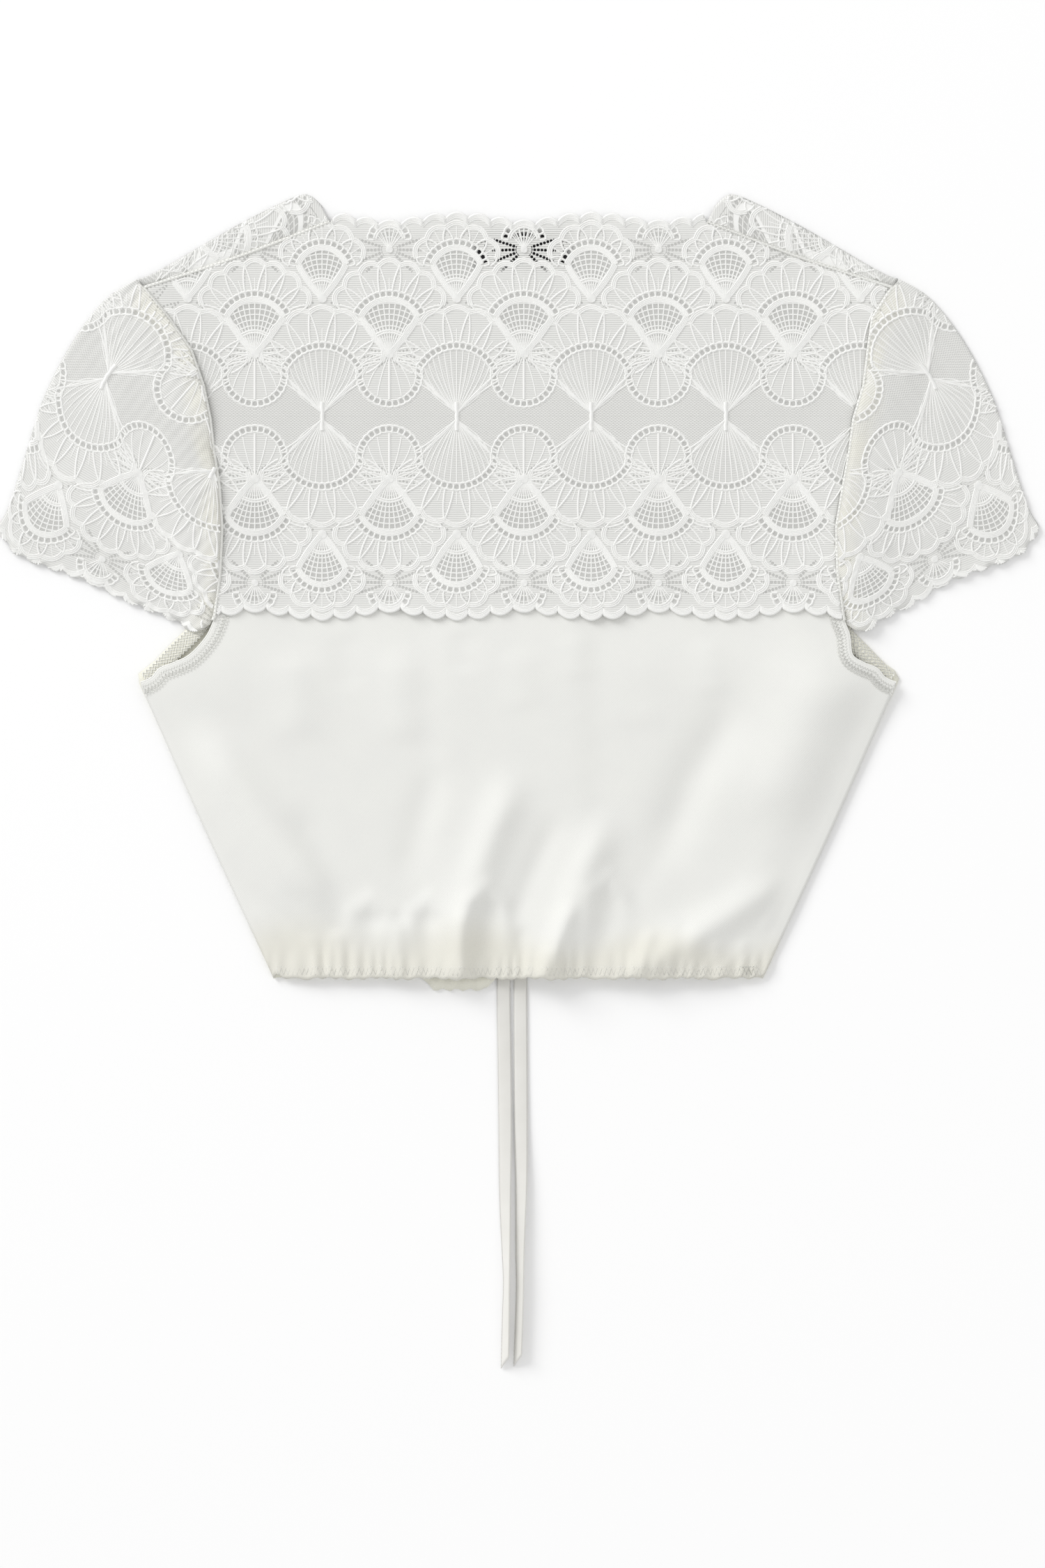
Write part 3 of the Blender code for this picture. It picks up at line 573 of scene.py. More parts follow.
# Galloon lace of common fan and shell repeats. s runs along its axis and t away from it to either scalloped edge.
galloon = {
    "repeat": 71.4, "focus": -32.7, "valley": 100.8, "lobe": 3.2, "dip": 4.2, "lobes": 6,
    "holePitch": 3.3, "holeSize": 1.2, "thread": 0.50, "netWidth": 1.95, "netHeight": 1.45,
}
# Parts of one repeat: apex, centre of its arc, radius, half angle, reach of its petals, number of petals.
fan = {"apex": 2.6, "centre": 14.9, "radius": 21.0, "halfAngle": 66, "rim": 43.0, "petals": 7, "spokes": 15}
bell = {"apex": 33.0, "centre": 22.5, "radius": 17.9, "inner": 14.3, "halfAngle": 100}
shell = {"apex": 33.0, "centre": 45.2, "radius": 16.9, "halfAngle": 64, "rim": 37.5, "petals": 7, "spokes": 11,
         "fan": 12.0, "rung": 3.0}
smallShell = {"apex": 62.5, "centre": 75.9, "radius": 13.6, "halfAngle": 70, "rim": 27.0, "petals": 5, "spokes": 9,
              "fan": 10.0, "rung": 2.7}
edgeFan = {"apex": 88.5, "centre": 93.0, "radius": 8.4, "halfAngle": 80, "spokes": 7, "fan": 3.5, "rung": 3.2}
holeRowStep = 3.0


def laceEdge(s):
    # Distance of the scalloped edge from the axis.
    turn = s / galloon["repeat"] - 0.5
    lobe = np.abs(np.cos(np.pi * turn * galloon["lobes"])) ** 0.8
    dip = (0.5 - 0.5 * np.cos(2 * np.pi * turn)) ** 0.8
    return galloon["valley"] + galloon["lobe"] * lobe + galloon["dip"] * dip


def arcLine(s, part, radius, bumps=0, bump=0.4, span=None):
    span = math.radians(span or part["halfAngle"])
    count = max(14, bumps * 4 + 1)
    angle = np.linspace(-span, span, count)
    reach = radius + bump * np.abs(np.sin(np.linspace(0, bumps * np.pi, count))) if bumps else np.full(count, radius)
    turn = part.get("turn", 1)
    return np.column_stack([s + reach * np.sin(angle), part["centre"] + turn * reach * np.cos(angle)])


def bend(start, end, sag, count=6):
    # A line from start to end that bows out to its left by the sag.
    start, end = np.asarray(start, float), np.asarray(end, float)
    a = np.linspace(0, 1, count)[:, None]
    across = np.array([-(end - start)[1], (end - start)[0]]) / max(np.linalg.norm(end - start), 1e-6)
    return start + a * (end - start) + 4 * a * (1 - a) * sag * across


def bandLines(path, width, weight=1.3, pitch=0.55):
    # Close stitches laid side by side, as wide as the band.
    along = np.gradient(path, axis=0)
    across = np.column_stack([-along[:, 1], along[:, 0]]) / np.linalg.norm(along, axis=1)[:, None]
    count = max(2, round(width / pitch))
    return [(path + across * (i / (count - 1) - 0.5) * width, weight) for i in range(count)]


def holeRowLines(s, part, radius):
    # A row of round holes between two bumpy lines, with a tie between each two.
    span = math.radians(part["halfAngle"])
    middle = radius + holeRowStep / 2
    count = int(span * middle / galloon["holePitch"]) * 2 + 1
    half = count * galloon["holePitch"] / 2 / middle
    lines = [(arcLine(s, part, radius + holeRowStep, count, 0.5, math.degrees(half)), 1.3)]
    for i in range(count + 1):
        angle = -half + 2 * half * i / count
        ends = [(s + r * math.sin(angle), part["centre"] + part.get("turn", 1) * r * math.cos(angle))
                for r in (radius, radius + holeRowStep)]
        lines.append((bend(*ends, 0, 2), 1.2))
    return lines


def petalLines(s, part, start, fall):
    # Leaves round the rim of a shell: lines that close to a point between two leaves, and a bowed end on each.
    step = 2 * part["halfAngle"] / part["petals"]
    
    def place(angle, reach):
        return s + reach * math.sin(math.radians(angle)), part["centre"] + reach * math.cos(math.radians(angle))

    def rim(angle):
        return part["rim"] - fall * (angle / part["halfAngle"]) ** 2

    lines = []
    for i in range(part["petals"] + 1):
        angle = -part["halfAngle"] + i * step
        valley = place(angle, rim(angle) - 2.2)
        for lean in (-0.28, 0.28):
            lines.append((bend(place(angle + lean * step, start), valley, 0.6 if lean < 0 else -0.6), 1.3))
        if i < part["petals"]:
            ahead = place(angle + step, rim(angle + step) - 2.2)
            lines += bandLines(bend(valley, ahead, 2.9, 9), 1.9, 1.15, 0.6)
            lines.append((bend(place(angle + step / 2, start), place(angle + step / 2, start + 7), 0, 3), 0.7))
    return lines


def wedgeLines(s, part):
    # A shell: knob, thick sides and arc, spokes from the knob and rungs across them.
    span = math.radians(part["halfAngle"])
    end = (part["radius"] * math.sin(span), part["centre"] + part["radius"] * math.cos(span))
    lines = bandLines(arcLine(s, part, part["radius"]), 2.4)
    for side in (-1, 1):
        lines += bandLines(bend((s, part["apex"]), (s + side * end[0], end[1]), -side * 0.8, 7), 2.3)
    lean = math.atan2(end[0], end[1] - part["apex"])
    for i in range(part["spokes"]):
        angle = lean * 0.92 * (2 * i / (part["spokes"] - 1) - 1)
        tip = (part["radius"] - 1) * angle / lean * span / (part["radius"] - 1)
        far = (s + (part["radius"] - 1) * math.sin(tip), part["centre"] + (part["radius"] - 1) * math.cos(tip))
        lines.append((bend((s, part["apex"]), far, -0.8 * angle / lean), 0.85))
    reach = part["fan"]
    while reach < part["centre"] + part["radius"] - part["apex"] - 2:
        angle = np.linspace(-lean, lean, 11) * (0.95 - 0.012 * (reach - part["fan"]))
        rung = np.column_stack([s + reach * np.sin(angle), part["apex"] + reach * np.cos(angle)])
        if reach == part["fan"]:
            lines += bandLines(rung, 1.3)
        else:
            lines.append((rung, 0.85))
        reach += part["rung"]
    return lines + knobLines(s, part["apex"]) + holeRowLines(s, part, part["radius"] + 1.2)


def knobLines(s, t, reach=2.3):
    turns = np.radians(np.arange(0, 180, 22.5))
    return [(np.array([(s - reach * math.cos(a), t - reach * math.sin(a)), (s, t),
                       (s + reach * math.cos(a), t + reach * math.sin(a))]), 1.7) for a in turns]


def repeatLines():
    # The raised threads of one repeat on one side of the axis, each with its weight.
    half = galloon["repeat"] / 2
    lines = [(arcLine(0, fan, fan["radius"], 15, -0.4), 1.4)] + holeRowLines(0, fan, fan["radius"])
    lines.append((np.array([(0.0, -0.6), (0.2, 2.0), (-0.2, 4.5), (0.0, 7.5)]), 2.6))
    for i in range(fan["spokes"]):
        angle = math.radians(fan["halfAngle"]) * (2 * i / (fan["spokes"] - 1) - 1)
        end = (fan["radius"] * math.sin(angle), fan["centre"] + fan["radius"] * math.cos(angle))
        lines.append((bend((0, fan["apex"]), end, -3.0 * angle / 1.15, 8), 0.8))
    for side in (-1, 1):
        for end, sag in (((20.5, 22.0), 0.5), ((22.5, 19.0), 1.0), ((23.0, 25.5), -0.6)):
            lines.append((bend((0, fan["apex"] - 1), (side * end[0], end[1]), side * sag, 6), 1.2))
    lines += petalLines(0, fan, fan["radius"] + holeRowStep + 0.6, 6.0)
    bellPart = {**bell, "turn": -1}
    lines.append((arcLine(half, bellPart, bell["inner"], 12, -0.3), 1.0))
    lines += holeRowLines(half, bellPart, bell["inner"])
    for angle, reach in ((0, 24), (16, 23), (-16, 23), (33, 21), (-33, 21), (50, 19), (-50, 19)):
        a = math.radians(angle)
        end = (half + reach * math.sin(a), bell["apex"] - reach * math.cos(a))
        lines.append((bend((half, bell["apex"]), end, angle / 20), 1.5 if angle == 0 else 0.9))
    for angle, reach in ((66, 19), (82, 18), (100, 17)):
        for side in (-1, 1):
            a = math.radians(angle) * side
            end = (half + reach * math.sin(a), bell["apex"] - reach * math.cos(a))
            for sag in (-1.8, 1.8):
                lines.append((bend((half, bell["apex"]), end, sag, 7), 1.0))
    for place, part, fall in ((half, shell, 4.0), (0, smallShell, 2.0)):
        lines += wedgeLines(place, part)
        lines += petalLines(place, part, part["radius"] + holeRowStep + 1.6, fall)
    lines += knobLines(half, edgeFan["apex"], 1.8) + holeRowLines(half, edgeFan, edgeFan["radius"])
    lines += bandLines(arcLine(half, edgeFan, edgeFan["radius"] - 0.6), 1.2)
    for i in range(edgeFan["spokes"]):
        angle = math.radians(-60 + 20 * i)
        end = (half + edgeFan["radius"] * math.sin(angle), edgeFan["centre"] + edgeFan["radius"] * math.cos(angle))
        lines.append((bend((half, edgeFan["apex"]), end, 0, 4), 0.9))
    rimPlaces = np.linspace(-half, half, 73)
    for inset, weight in ((0.35, 1.7), (1.1, 1.4), (1.9, 1.2), (2.8, 1.0)):
        lines.append((np.column_stack([rimPlaces, laceEdge(rimPlaces) - inset]), weight))
    return lines


class Field:
    # A number that changes over the cloth; signs between fields add maths nodes to the shader tree.
    def __init__(self, tree, socket):
        self.tree = tree
        self.socket = socket

    def step(self, kind, *others):
        node = self.tree.nodes.new("ShaderNodeMath")
        node.operation = kind
        for socket, value in zip(node.inputs, (self, *others)):
            if isinstance(value, Field):
                self.tree.links.new(value.socket, socket)
            else:
                socket.default_value = value
        return Field(self.tree, node.outputs[0])

    def __add__(self, other):
        return self.step("ADD", other)

    def __sub__(self, other):
        return self.step("SUBTRACT", other)

    def __mul__(self, other):
        return self.step("MULTIPLY", other)

    def hypot(self, other):
        return (self * self + other * other).step("SQRT")

    def fold(self, half):
        return self.step("PINGPONG", half)

    def most(self, other):
        return self.step("MAXIMUM", other)

    def least(self, other):
        return self.step("MINIMUM", other)

    def over(self, low, high):
        # 0 under low, 1 over high.
        return ((self - low) * (1 / (high - low))).most(0.0).least(1.0)

    def minusFrom(self, value):
        return self * -1.0 + value


def openworkGroup():
    # Where the lace is open: net, rows of round holes, wedges between spokes, and slits between the ground's threads.
    group, given, made = addGroup(
        "galloonOpenwork", (("Place", None), ("Unevenness", 0.35)),
        (("Open", "NodeSocketFloat"), ("Ground", "NodeSocketFloat")),
    )
    nodes, links = group.nodes, group.links
    split = nodes.new("ShaderNodeSeparateXYZ")
    noise = nodes.new("ShaderNodeTexNoise")
    noise.inputs["Scale"].default_value = 0.35
    noise.inputs["Detail"].default_value = 2.0
    links.new(given.outputs["Place"], split.inputs[0])
    links.new(given.outputs["Place"], noise.inputs["Vector"])
    wander = (Field(group, noise.outputs["Fac"]) - 0.5) * Field(group, given.outputs["Unevenness"])
    s = (Field(group, split.outputs[0]) + wander).fold(galloon["repeat"] / 2)
    t = (Field(group, split.outputs[1]) + wander).step("ABSOLUTE")
    q = s.minusFrom(galloon["repeat"] / 2)

    def polar(across, part):
        away = (t - part["centre"]) * part.get("turn", 1)
        return across.hypot(away), across.step("ARCTAN2", away)

    def holeRow(across, part, radius):
        reach, angle = polar(across, part)
        along = (angle * radius).fold(galloon["holePitch"] / 2)
        inSpan = angle.step("ABSOLUTE").minusFrom(math.radians(part["halfAngle"])) * radius
        return (reach - radius).hypot(along).minusFrom(galloon["holeSize"]).least(inSpan)

    def wedge(across, part):
        # Open squares between the spokes and rungs of a shell.
        reach, angle = polar(across, part)
        fromApex = across.hypot(t - part["apex"])
        turn = across.step("ARCTAN2", t - part["apex"])
        span = math.radians(part["halfAngle"])
        lean = math.atan2(part["radius"] * math.sin(span), part["centre"] + part["radius"] * math.cos(span) - part["apex"])
        inside = reach.minusFrom(part["radius"] - 1.3).least((turn.minusFrom(lean) * fromApex) - 1.4)
        gap = (turn * ((part["spokes"] - 1) / (2 * lean * 0.92))).fold(0.5).minusFrom(0.5)
        spokes = gap.minusFrom(0.5) * fromApex * (2 * lean * 0.92 / (part["spokes"] - 1)) - 0.32
        rungs = (fromApex - part["fan"]).fold(part["rung"] / 2) - 0.35
        return spokes.least(rungs).least(inside)

    def leafRows(across, part, start, size=0.62):
        # Small holes in two rows that close to a point between two leaves.
        reach, angle = polar(across, part)
        step = math.radians(2 * part["halfAngle"] / part["petals"])
        toValley = (angle.fold(step / 2)).minusFrom(step / 2)
        share = ((reach - start) * (1 / (part["rim"] - 3 - start))).most(0.0)
        lean = share.minusFrom(1.0) * (0.30 * step)
        aside = (toValley - lean) * reach
        along = reach.fold(0.95)
        ends = (reach - start).least(reach.minusFrom(part["rim"] - 2.5))
        inSpan = angle.step("ABSOLUTE").minusFrom(math.radians(part["halfAngle"] + 4)) * reach
        return aside.hypot(along).minusFrom(size).least(ends).least(inSpan)

    def rayRows(across, apex, angles, near, far, size):
        # Small holes in rows that leave a knob, at angles from the direction of the edge.
        reach = across.hypot(t - apex)
        angle = across.step("ARCTAN2", t - apex)
        nearest = None
        for degrees in angles:
            aside = ((angle - math.radians(degrees)) * reach).step("ABSOLUTE")
            nearest = aside if nearest is None else nearest.least(aside)
        along = reach.fold(0.95)
        return nearest.hypot(along).minusFrom(size).least(reach - near).least(reach.minusFrom(far))

    fanReach, fanAngle = polar(s, fan)
    fromFocus = s.hypot(t - fan["apex"])
    fanTurn = s.step("ARCTAN2", t - fan["apex"])
    inFan = fanReach.minusFrom(fan["radius"] - 0.4).least(fanTurn.minusFrom(0.74) * fromFocus)
    fanGap = (fanTurn * (7 / 0.74)).fold(0.5) * fromFocus * (0.74 / 7) - 0.16
    fanRung = (fromFocus.fold(0.65)) - 0.2
    fanOpen = fanGap.least(fanRung + 0.1).least(inFan)
    bellPart = {**bell, "turn": -1}
    rows = holeRow(s, fan, fan["radius"] + holeRowStep / 2)
    rows = rows.most(holeRow(q, bellPart, bell["inner"] + holeRowStep / 2))
    for across, part in ((q, shell), (s, smallShell)):
        rows = rows.most(holeRow(across, part, part["radius"] + 1.2 + holeRowStep / 2))
    rows = rows.most(holeRow(q, edgeFan, edgeFan["radius"] + holeRowStep / 2))
    wedges = wedge(q, shell).most(wedge(s, smallShell)).most(wedge(q, edgeFan))
    leaves = leafRows(s, fan, fan["radius"] + 3.6).most(leafRows(q, shell, shell["radius"] + 4.8))
    leaves = leaves.most(leafRows(s, smallShell, smallShell["radius"] + 4.8, 0.85))
    leaves = leaves.most(rayRows(q, bell["apex"], (78, 97, 115), 4.5, 17.0, 0.6))
    leaves = leaves.most(rayRows(q, edgeFan["apex"], (72, 92, 112, 134), 4.0, 17.0, 0.85))
    rows = rows.most(leaves)
    holes = rows.most(wedges).over(-0.06, 0.12)
    wide, tall = s * (math.pi / galloon["netWidth"]), t * (math.pi / galloon["netHeight"])
    mesh = ((wide + tall).step("SINE") * (wide - tall).step("SINE")).step("ABSOLUTE").over(0.18, 0.5)
    nearFan = (s * 0.9 + 2.0) - t
    bellReach, _ = polar(q, bellPart)
    outOfBell = bellReach - (bell["radius"] + 0.5)
    inNet = nearFan.least(outOfBell).least(t.minusFrom(28.0)).over(-0.3, 0.3)
    slits = (t * (2 * math.pi / 1.15)).step("SINE").over(0.1, 0.8)
    inFanOpen = inFan.over(-0.1, 0.1)
    ground = slits * 0.42
    ground = ground * inNet.minusFrom(1.0) + mesh * 0.58 * inNet
    ground = ground * inFanOpen.minusFrom(1.0) + fanOpen.over(-0.05, 0.2) * 0.4 * inFanOpen
    dense = None
    for across, part in ((q, shell), (s, smallShell)):
        reach, angle = polar(across, part)
        span = math.radians(part["halfAngle"])
        band = (reach - part["radius"]).step("ABSOLUTE").minusFrom(1.3).least(
            angle.step("ABSOLUTE").minusFrom(span) * part["radius"])
        turn = across.step("ARCTAN2", t - part["apex"])
        lean = math.atan2(part["radius"] * math.sin(span), part["centre"] + part["radius"] * math.cos(span) - part["apex"])
        fromApex = across.hypot(t - part["apex"])
        side = ((turn - lean).step("ABSOLUTE") * fromApex).minusFrom(1.3).least(reach.minusFrom(part["radius"]))
        knob = fromApex.minusFrom(2.3)
        here = band.most(side).most(knob)
        dense = here if dense is None else dense.most(here)
    solid = dense.over(-0.2, 0.2)
    opened = (ground.most(holes)) * solid.minusFrom(1.0)
    edge = t.minusFrom(galloon["valley"] - 1.0).over(-1.0, 3.0)
    links.new((opened * (edge * 0.65 + 0.35)).socket, made.inputs["Open"])
    links.new(solid.most(slits.minusFrom(1.0) * 0.35).socket, made.inputs["Ground"])
    return group


openwork = openworkGroup()


def laceMaterial(name, look):
    material = clothMaterial(name, look)
    nodes, links = material.node_tree.nodes, material.node_tree.links
    shader = nodes["Principled BSDF"]
    place = nodes.new("ShaderNodeUVMap")
    place.uv_map = "pattern"
    work = nodes.new("ShaderNodeGroup")
    work.node_tree = openwork
    links.new(place.outputs["UV"], work.inputs["Place"])
    clear = nodes.new("ShaderNodeAttribute")
    clear.attribute_name = "overLabel"
    tree = material.node_tree
    openness = Field(tree, clear.outputs["Fac"]) * (1.0 - look["openness"]) + look["openness"]
    alpha = (Field(tree, work.outputs["Open"]) * openness).minusFrom(1.0)
    links.new(alpha.socket, shader.inputs["Alpha"])
    # Dense bands and the threads between slits take the whiter stitch colour; the greyer ground elsewhere is painted
    # shade of the openwork.
    cover = nodes.new("ShaderNodeMix")
    cover.data_type = "RGBA"
    cover.inputs["B"].default_value = (*look["stitch"], 1)
    links.new(work.outputs["Ground"], cover.inputs["Factor"])
    links.new(shader.inputs["Base Color"].links[0].from_socket, cover.inputs["A"])
    links.new(cover.outputs["Result"], shader.inputs["Base Color"])
    return material


# The lace ground is greyer than the lace thread and its stitched bands: painted shade in its fine openwork.
laceLook = {
    "colour": (0.745, 0.745, 0.72), "shade": (0.71, 0.71, 0.685), "stitch": (0.88, 0.88, 0.86), "roughness": 0.8,
    "threads": 1800.0, "openness": 0.42,
}
laceThreadLook = {"colour": (0.92, 0.92, 0.90), "shade": (0.89, 0.89, 0.87), "roughness": 0.6, "threads": 3000.0}
laceCloth = laceMaterial("galloonLace", laceLook)
sleeveCloth = laceMaterial("sleeveLace", {**laceLook, "openness": 0.36, "tint": (0.80, 0.785, 0.69)})
laceThread = clothMaterial("laceThread", laceThreadLook)
laceTree = threadTree("laceThreads", laceThread)
print("lace materials ready")


def insideOf(outline):
    def test(x, y):
        crossings = np.zeros(np.shape(x), int)
        for (ax, ay), (bx, by) in zip(outline, np.roll(outline, -1, axis=0)):
            if ay != by:
                crossings += ((ay > y) != (by > y)) & (x < ax + (y - ay) / (by - ay) * (bx - ax))
        return crossings % 2 == 1
    return test


def laceThreadsOn(name, fromPattern, repeats, inside, height, corners=4, rise=0.08):
    # The repeat's threads carried over to the garment and cut where the piece ends.
    paths, weights = [], []
    for k in repeats:
        for flip in (-1, 1):
            for path, weight in repeatLines():
                paths.append(np.column_stack([path[:, 0] + k * galloon["repeat"], flip * path[:, 1]]))
                weights.append(weight)
    every = np.vstack(paths)
    x, y = fromPattern(every[:, 0], every[:, 1])
    keep = inside(x, y)
    z = height(x, y) + rise
    lines = []
    first = 0
    for path, weight in zip(paths, weights):
        last = first + len(path)
        start = first
        for end in range(first + 1, last + 1):
            if end == last or keep[end] != keep[start]:
                if keep[start] and end - start > 1:
                    lines.append((np.column_stack([x[start:end], y[start:end], z[start:end]]), weight))
                start = end
        first = last
    return layThreads(name, lines, laceTree, galloon["thread"], corners)


# Back yoke, one width of the galloon. Its holes are made clearer over the dark label, so that the label shows.
labelBox = (-21.5, 25.9, 377.8, 400.0)
yoke = {"columns": 190, "rows": 104, "seam": 0.25, "neckReach": 99.8, "neckY": 401.3, "wall": 0.4}
shoulderSeam = ((100.3, 401.6), (127.3, 391.0), (158.4, 379.5), (198.7, 366.4))


def addYoke():
    borders = {}
    for side, sign in sides.items():
        heights = np.linspace(laceAxisY - float(laceEdge(np.array(-160.0 - galloon["focus"]))), 365.2, yoke["rows"])
        borders[side] = np.column_stack([sign * (armhole(side, heights) - yoke["seam"]), heights])
    x0, x1 = borders["left"][0, 0], borders["right"][0, 0]
    lowX = np.linspace(x0, x1, yoke["columns"])
    low = np.column_stack([lowX, laceAxisY - laceEdge(lowX - galloon["focus"])])
    for border in borders.values():
        border[:, 1] = np.linspace(border[0, 1], 365.2, yoke["rows"])
    borders["left"][0], borders["right"][0] = low[0], low[-1]
    neckX = np.linspace(-yoke["neckReach"], yoke["neckReach"], 150)
    neck = np.column_stack([neckX, laceAxisY + laceEdge(neckX - galloon["focus"])])
    seam = splinePath(shoulderSeam, 30) - (0, yoke["seam"])
    seam[0] = (yoke["neckReach"], yoke["neckY"])
    top = np.vstack([onSide("left", seam[::-1]), neck[1:-1], onSide("right", seam)])
    top[0], top[-1] = borders["left"][-1], borders["right"][-1]
    high = resample(top, yoke["columns"])
    x, y = patch(low, high, borders["left"], borders["right"])
    height = topOfSolid("back_yoke")
    z = height(x, y) - 0.5 + 0.25 * np.sin(x / 9.0 + y / 23.0) * np.sin(y / 13.0)
    x0, x1, y0, y1 = labelBox
    overLabel = smooth(x0 - 5, x0, x) * smooth(x1 + 5, x1, x) * smooth(y0 - 4, y0, y)
    sheet = clothGrid("backYoke", x, y, z, laceCloth, yoke["wall"],
                      uv=(x - galloon["focus"], y - laceAxisY), fields={"overLabel": overLabel})
    outline = np.vstack([low, borders["right"], high[::-1], borders["left"][::-1]])
    relief = lambda px, py: height(px, py) - 0.5 + 0.25 * np.sin(px / 9.0 + py / 23.0) * np.sin(py / 13.0)
    threads = laceThreadsOn(
        "backYokeThreads", lambda s, t: (s + galloon["focus"], t + laceAxisY), range(-2, 4), insideOf(outline), relief)
    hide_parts("back_yoke")
    return sheet, threads


backYoke, backYokeThreads = addYoke()
print("yoke made:", sum(len(p.vertices) - 2 for p in backYokeThreads.data.polygons), "triangles of thread")

# Cap sleeves, each a width of the galloon folded along the top of the arm and gathered into the armhole.
sleeve = {
    "columns": 74, "underColumns": 26, "rows": 88, "wall": 0.4, "seam": 0.25, "lobe": 11.6, "lobeDepth": 2.4,
    "footY": 186.0, "topY": 367.0, "wrinklePitch": 5.6, "wrinkleHeight": 0.8, "wrinkleFade": 26.0,
}
sleeveFold = (
    (202.2, 370.9), (219.0, 360.4), (236.4, 338.2), (251.6, 308.6), (261.2, 279.0), (270.4, 250.5), (275.9, 241.0),
)
sleeveHem = ((275.9, 241.0), (264.5, 226.0), (231.0, 213.0), (203.0, 200.0), (182.0, 191.5), (170.5, 184.0))
# The galloon's own way over a sleeve: a focus of its fans, the run of its axis, and where that focus meets the hem.
sleeveFocus = np.array((218.3, 319.7))
sleeveAxis = np.array((-0.757, -0.653))
sleeveOut = np.array((0.653, -0.757))
sleeveRun = {"axisScale": 1.055, "hemScale": 1.04, "hemStart": 23.5, "hemReach": 103.0}


def sleeveMap(hem):
    # From the galloon's s and t to a place on the sleeve, and back; hem runs from the tip to the armhole.
    along = np.concatenate([[0], np.cumsum(np.linalg.norm(np.diff(hem, axis=0), axis=1))])
    starts, ends = hem[0] - hem[4], hem[-1] - hem[-5]
    starts, ends = starts / np.linalg.norm(starts), ends / np.linalg.norm(ends)

    def place(s, t):
        axis = sleeveFocus + (s * sleeveRun["axisScale"])[..., None] * sleeveAxis
        mark = sleeveRun["hemStart"] + s * sleeveRun["hemScale"]
        edge = np.stack([np.interp(mark, along, hem[:, i]) for i in (0, 1)], axis=-1)
        edge = edge + np.maximum(-mark, 0)[..., None] * starts + np.maximum(mark - along[-1], 0)[..., None] * ends
        share = np.maximum(t, 0)[..., None] / sleeveRun["hemReach"]
        return axis + (edge - axis) * share + np.minimum(t, 0)[..., None] * sleeveOut

    def pattern(x, y):
        offset = np.stack([x, y], axis=-1) - sleeveFocus
        s, t = offset @ sleeveAxis, offset @ sleeveOut
        for _ in range(40):
            error = np.stack([x, y], axis=-1) - place(s, t)
            s = s + 0.6 * (error @ sleeveAxis)
            t = t + 0.6 * (error @ sleeveOut)
        return s, t
    return place, pattern


def lobedPath(path, pitch, depth):
    along = np.concatenate([[0], np.cumsum(np.linalg.norm(np.diff(path, axis=0), axis=1))])
    swing = np.abs(np.sin(np.pi * round(along[-1] / pitch) * along / along[-1])) ** 0.8
    run = np.gradient(path, axis=0)
    across = np.column_stack([run[:, 1], -run[:, 0]]) / np.linalg.norm(run, axis=1)[:, None]
    return path + across * (depth * swing)[:, None]


def addSleeve(side):
    sign = sides[side]
    node = f"sleeve_{side}"
    shift = armhole(side, 192.4) - armhole("left", 192.4)
    hem = splinePath(sleeveHem[::-1], 150)
    fold = splinePath(sleeveFold[::-1], sleeve["rows"])
    heights = np.linspace(sleeve["footY"], sleeve["topY"], sleeve["rows"])
    arm = np.column_stack([armhole(side, heights) + sleeve["seam"], heights])
    hem[:, 0] += shift * smooth(215, 185, hem[:, 1])
    grids = []
    for columns, depth in ((sleeve["underColumns"], 0.0), (sleeve["columns"], sleeve["lobeDepth"])):
        low = resample(lobedPath(hem, sleeve["lobe"], depth), columns)
        left = arm.copy()
        low[0] = left[0] = (hem[0] + arm[0]) / 2
        high = np.linspace(arm[-1], fold[-1], columns)
        grids.append(patch(low, high, left, fold))
    (xu, yu), (xt, yt) = grids
    topHeight = topOfSolid(node)
    armPath = arm * (sign, 1)

    def relief(x, y):
        reach, _ = nearestOn(x, y, armPath[::6])
        along = sign * x * sleeveAxis[0] + y * sleeveAxis[1]
        wrinkle = np.sin(2 * np.pi * along / sleeve["wrinklePitch"] + 1.3 * np.sin(y / 17.0))
        strength = sleeve["wrinkleHeight"] * np.exp(-reach / sleeve["wrinkleFade"]) * smooth(0, 6, reach)
        return topHeight(x, y) - 0.5 + strength * (0.5 + 0.5 * wrinkle)

    topZ = relief(sign * xt, yt)
    underZ = np.full(xu.shape, 0.35)
    foldZ = (topZ[:, -1:] + underZ[:, -1:]) / 2
    underZ[:, -1:] = foldZ
    ease = np.array([0.75, 0.92])
    topZ[:, -3:-1] = foldZ + (topZ[:, -3:-1] - foldZ) * ease[::-1]
    x = np.hstack([xu, xt[:, -2::-1]]) * sign
    y = np.hstack([yu, yt[:, -2::-1]])
    z = np.hstack([underZ, topZ[:, -2::-1]])
    if side == "right":
        x, y, z = x[:, ::-1], y[:, ::-1], z[:, ::-1]
    place, pattern = sleeveMap(hem[::-1])
    # A tint on the lace stands for the cream strip under it, which its small holes would hide.
    reach, _ = nearestOn(x, y, armPath[::6])
    strip = 0.8 * (1 - smooth(5, 13 + 3 * np.sin(y / 9.0), reach)) * (0.75 + 0.25 * np.sin(y / 4.3 + np.sin(y / 17.0)))
    sheet = clothGrid(f"sleeveFolded{side.title()}", x, y, z, sleeveCloth, sleeve["wall"],
                      uv=pattern(sign * x, y), fields={"creamAndShadeTint": strip})
    outline = np.vstack([lobedPath(hem, sleeve["lobe"], sleeve["lobeDepth"]), fold[1:-1:3], arm[::-5]]) * (sign, 1)

    def fromPattern(s, t):
        where = place(s, t)
        return sign * where[:, 0], where[:, 1]

    threads = laceThreadsOn(f"sleeveThreads{side.title()}", fromPattern, range(-1, 3), insideOf(outline), relief)
    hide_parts(node)
    return sheet, threads


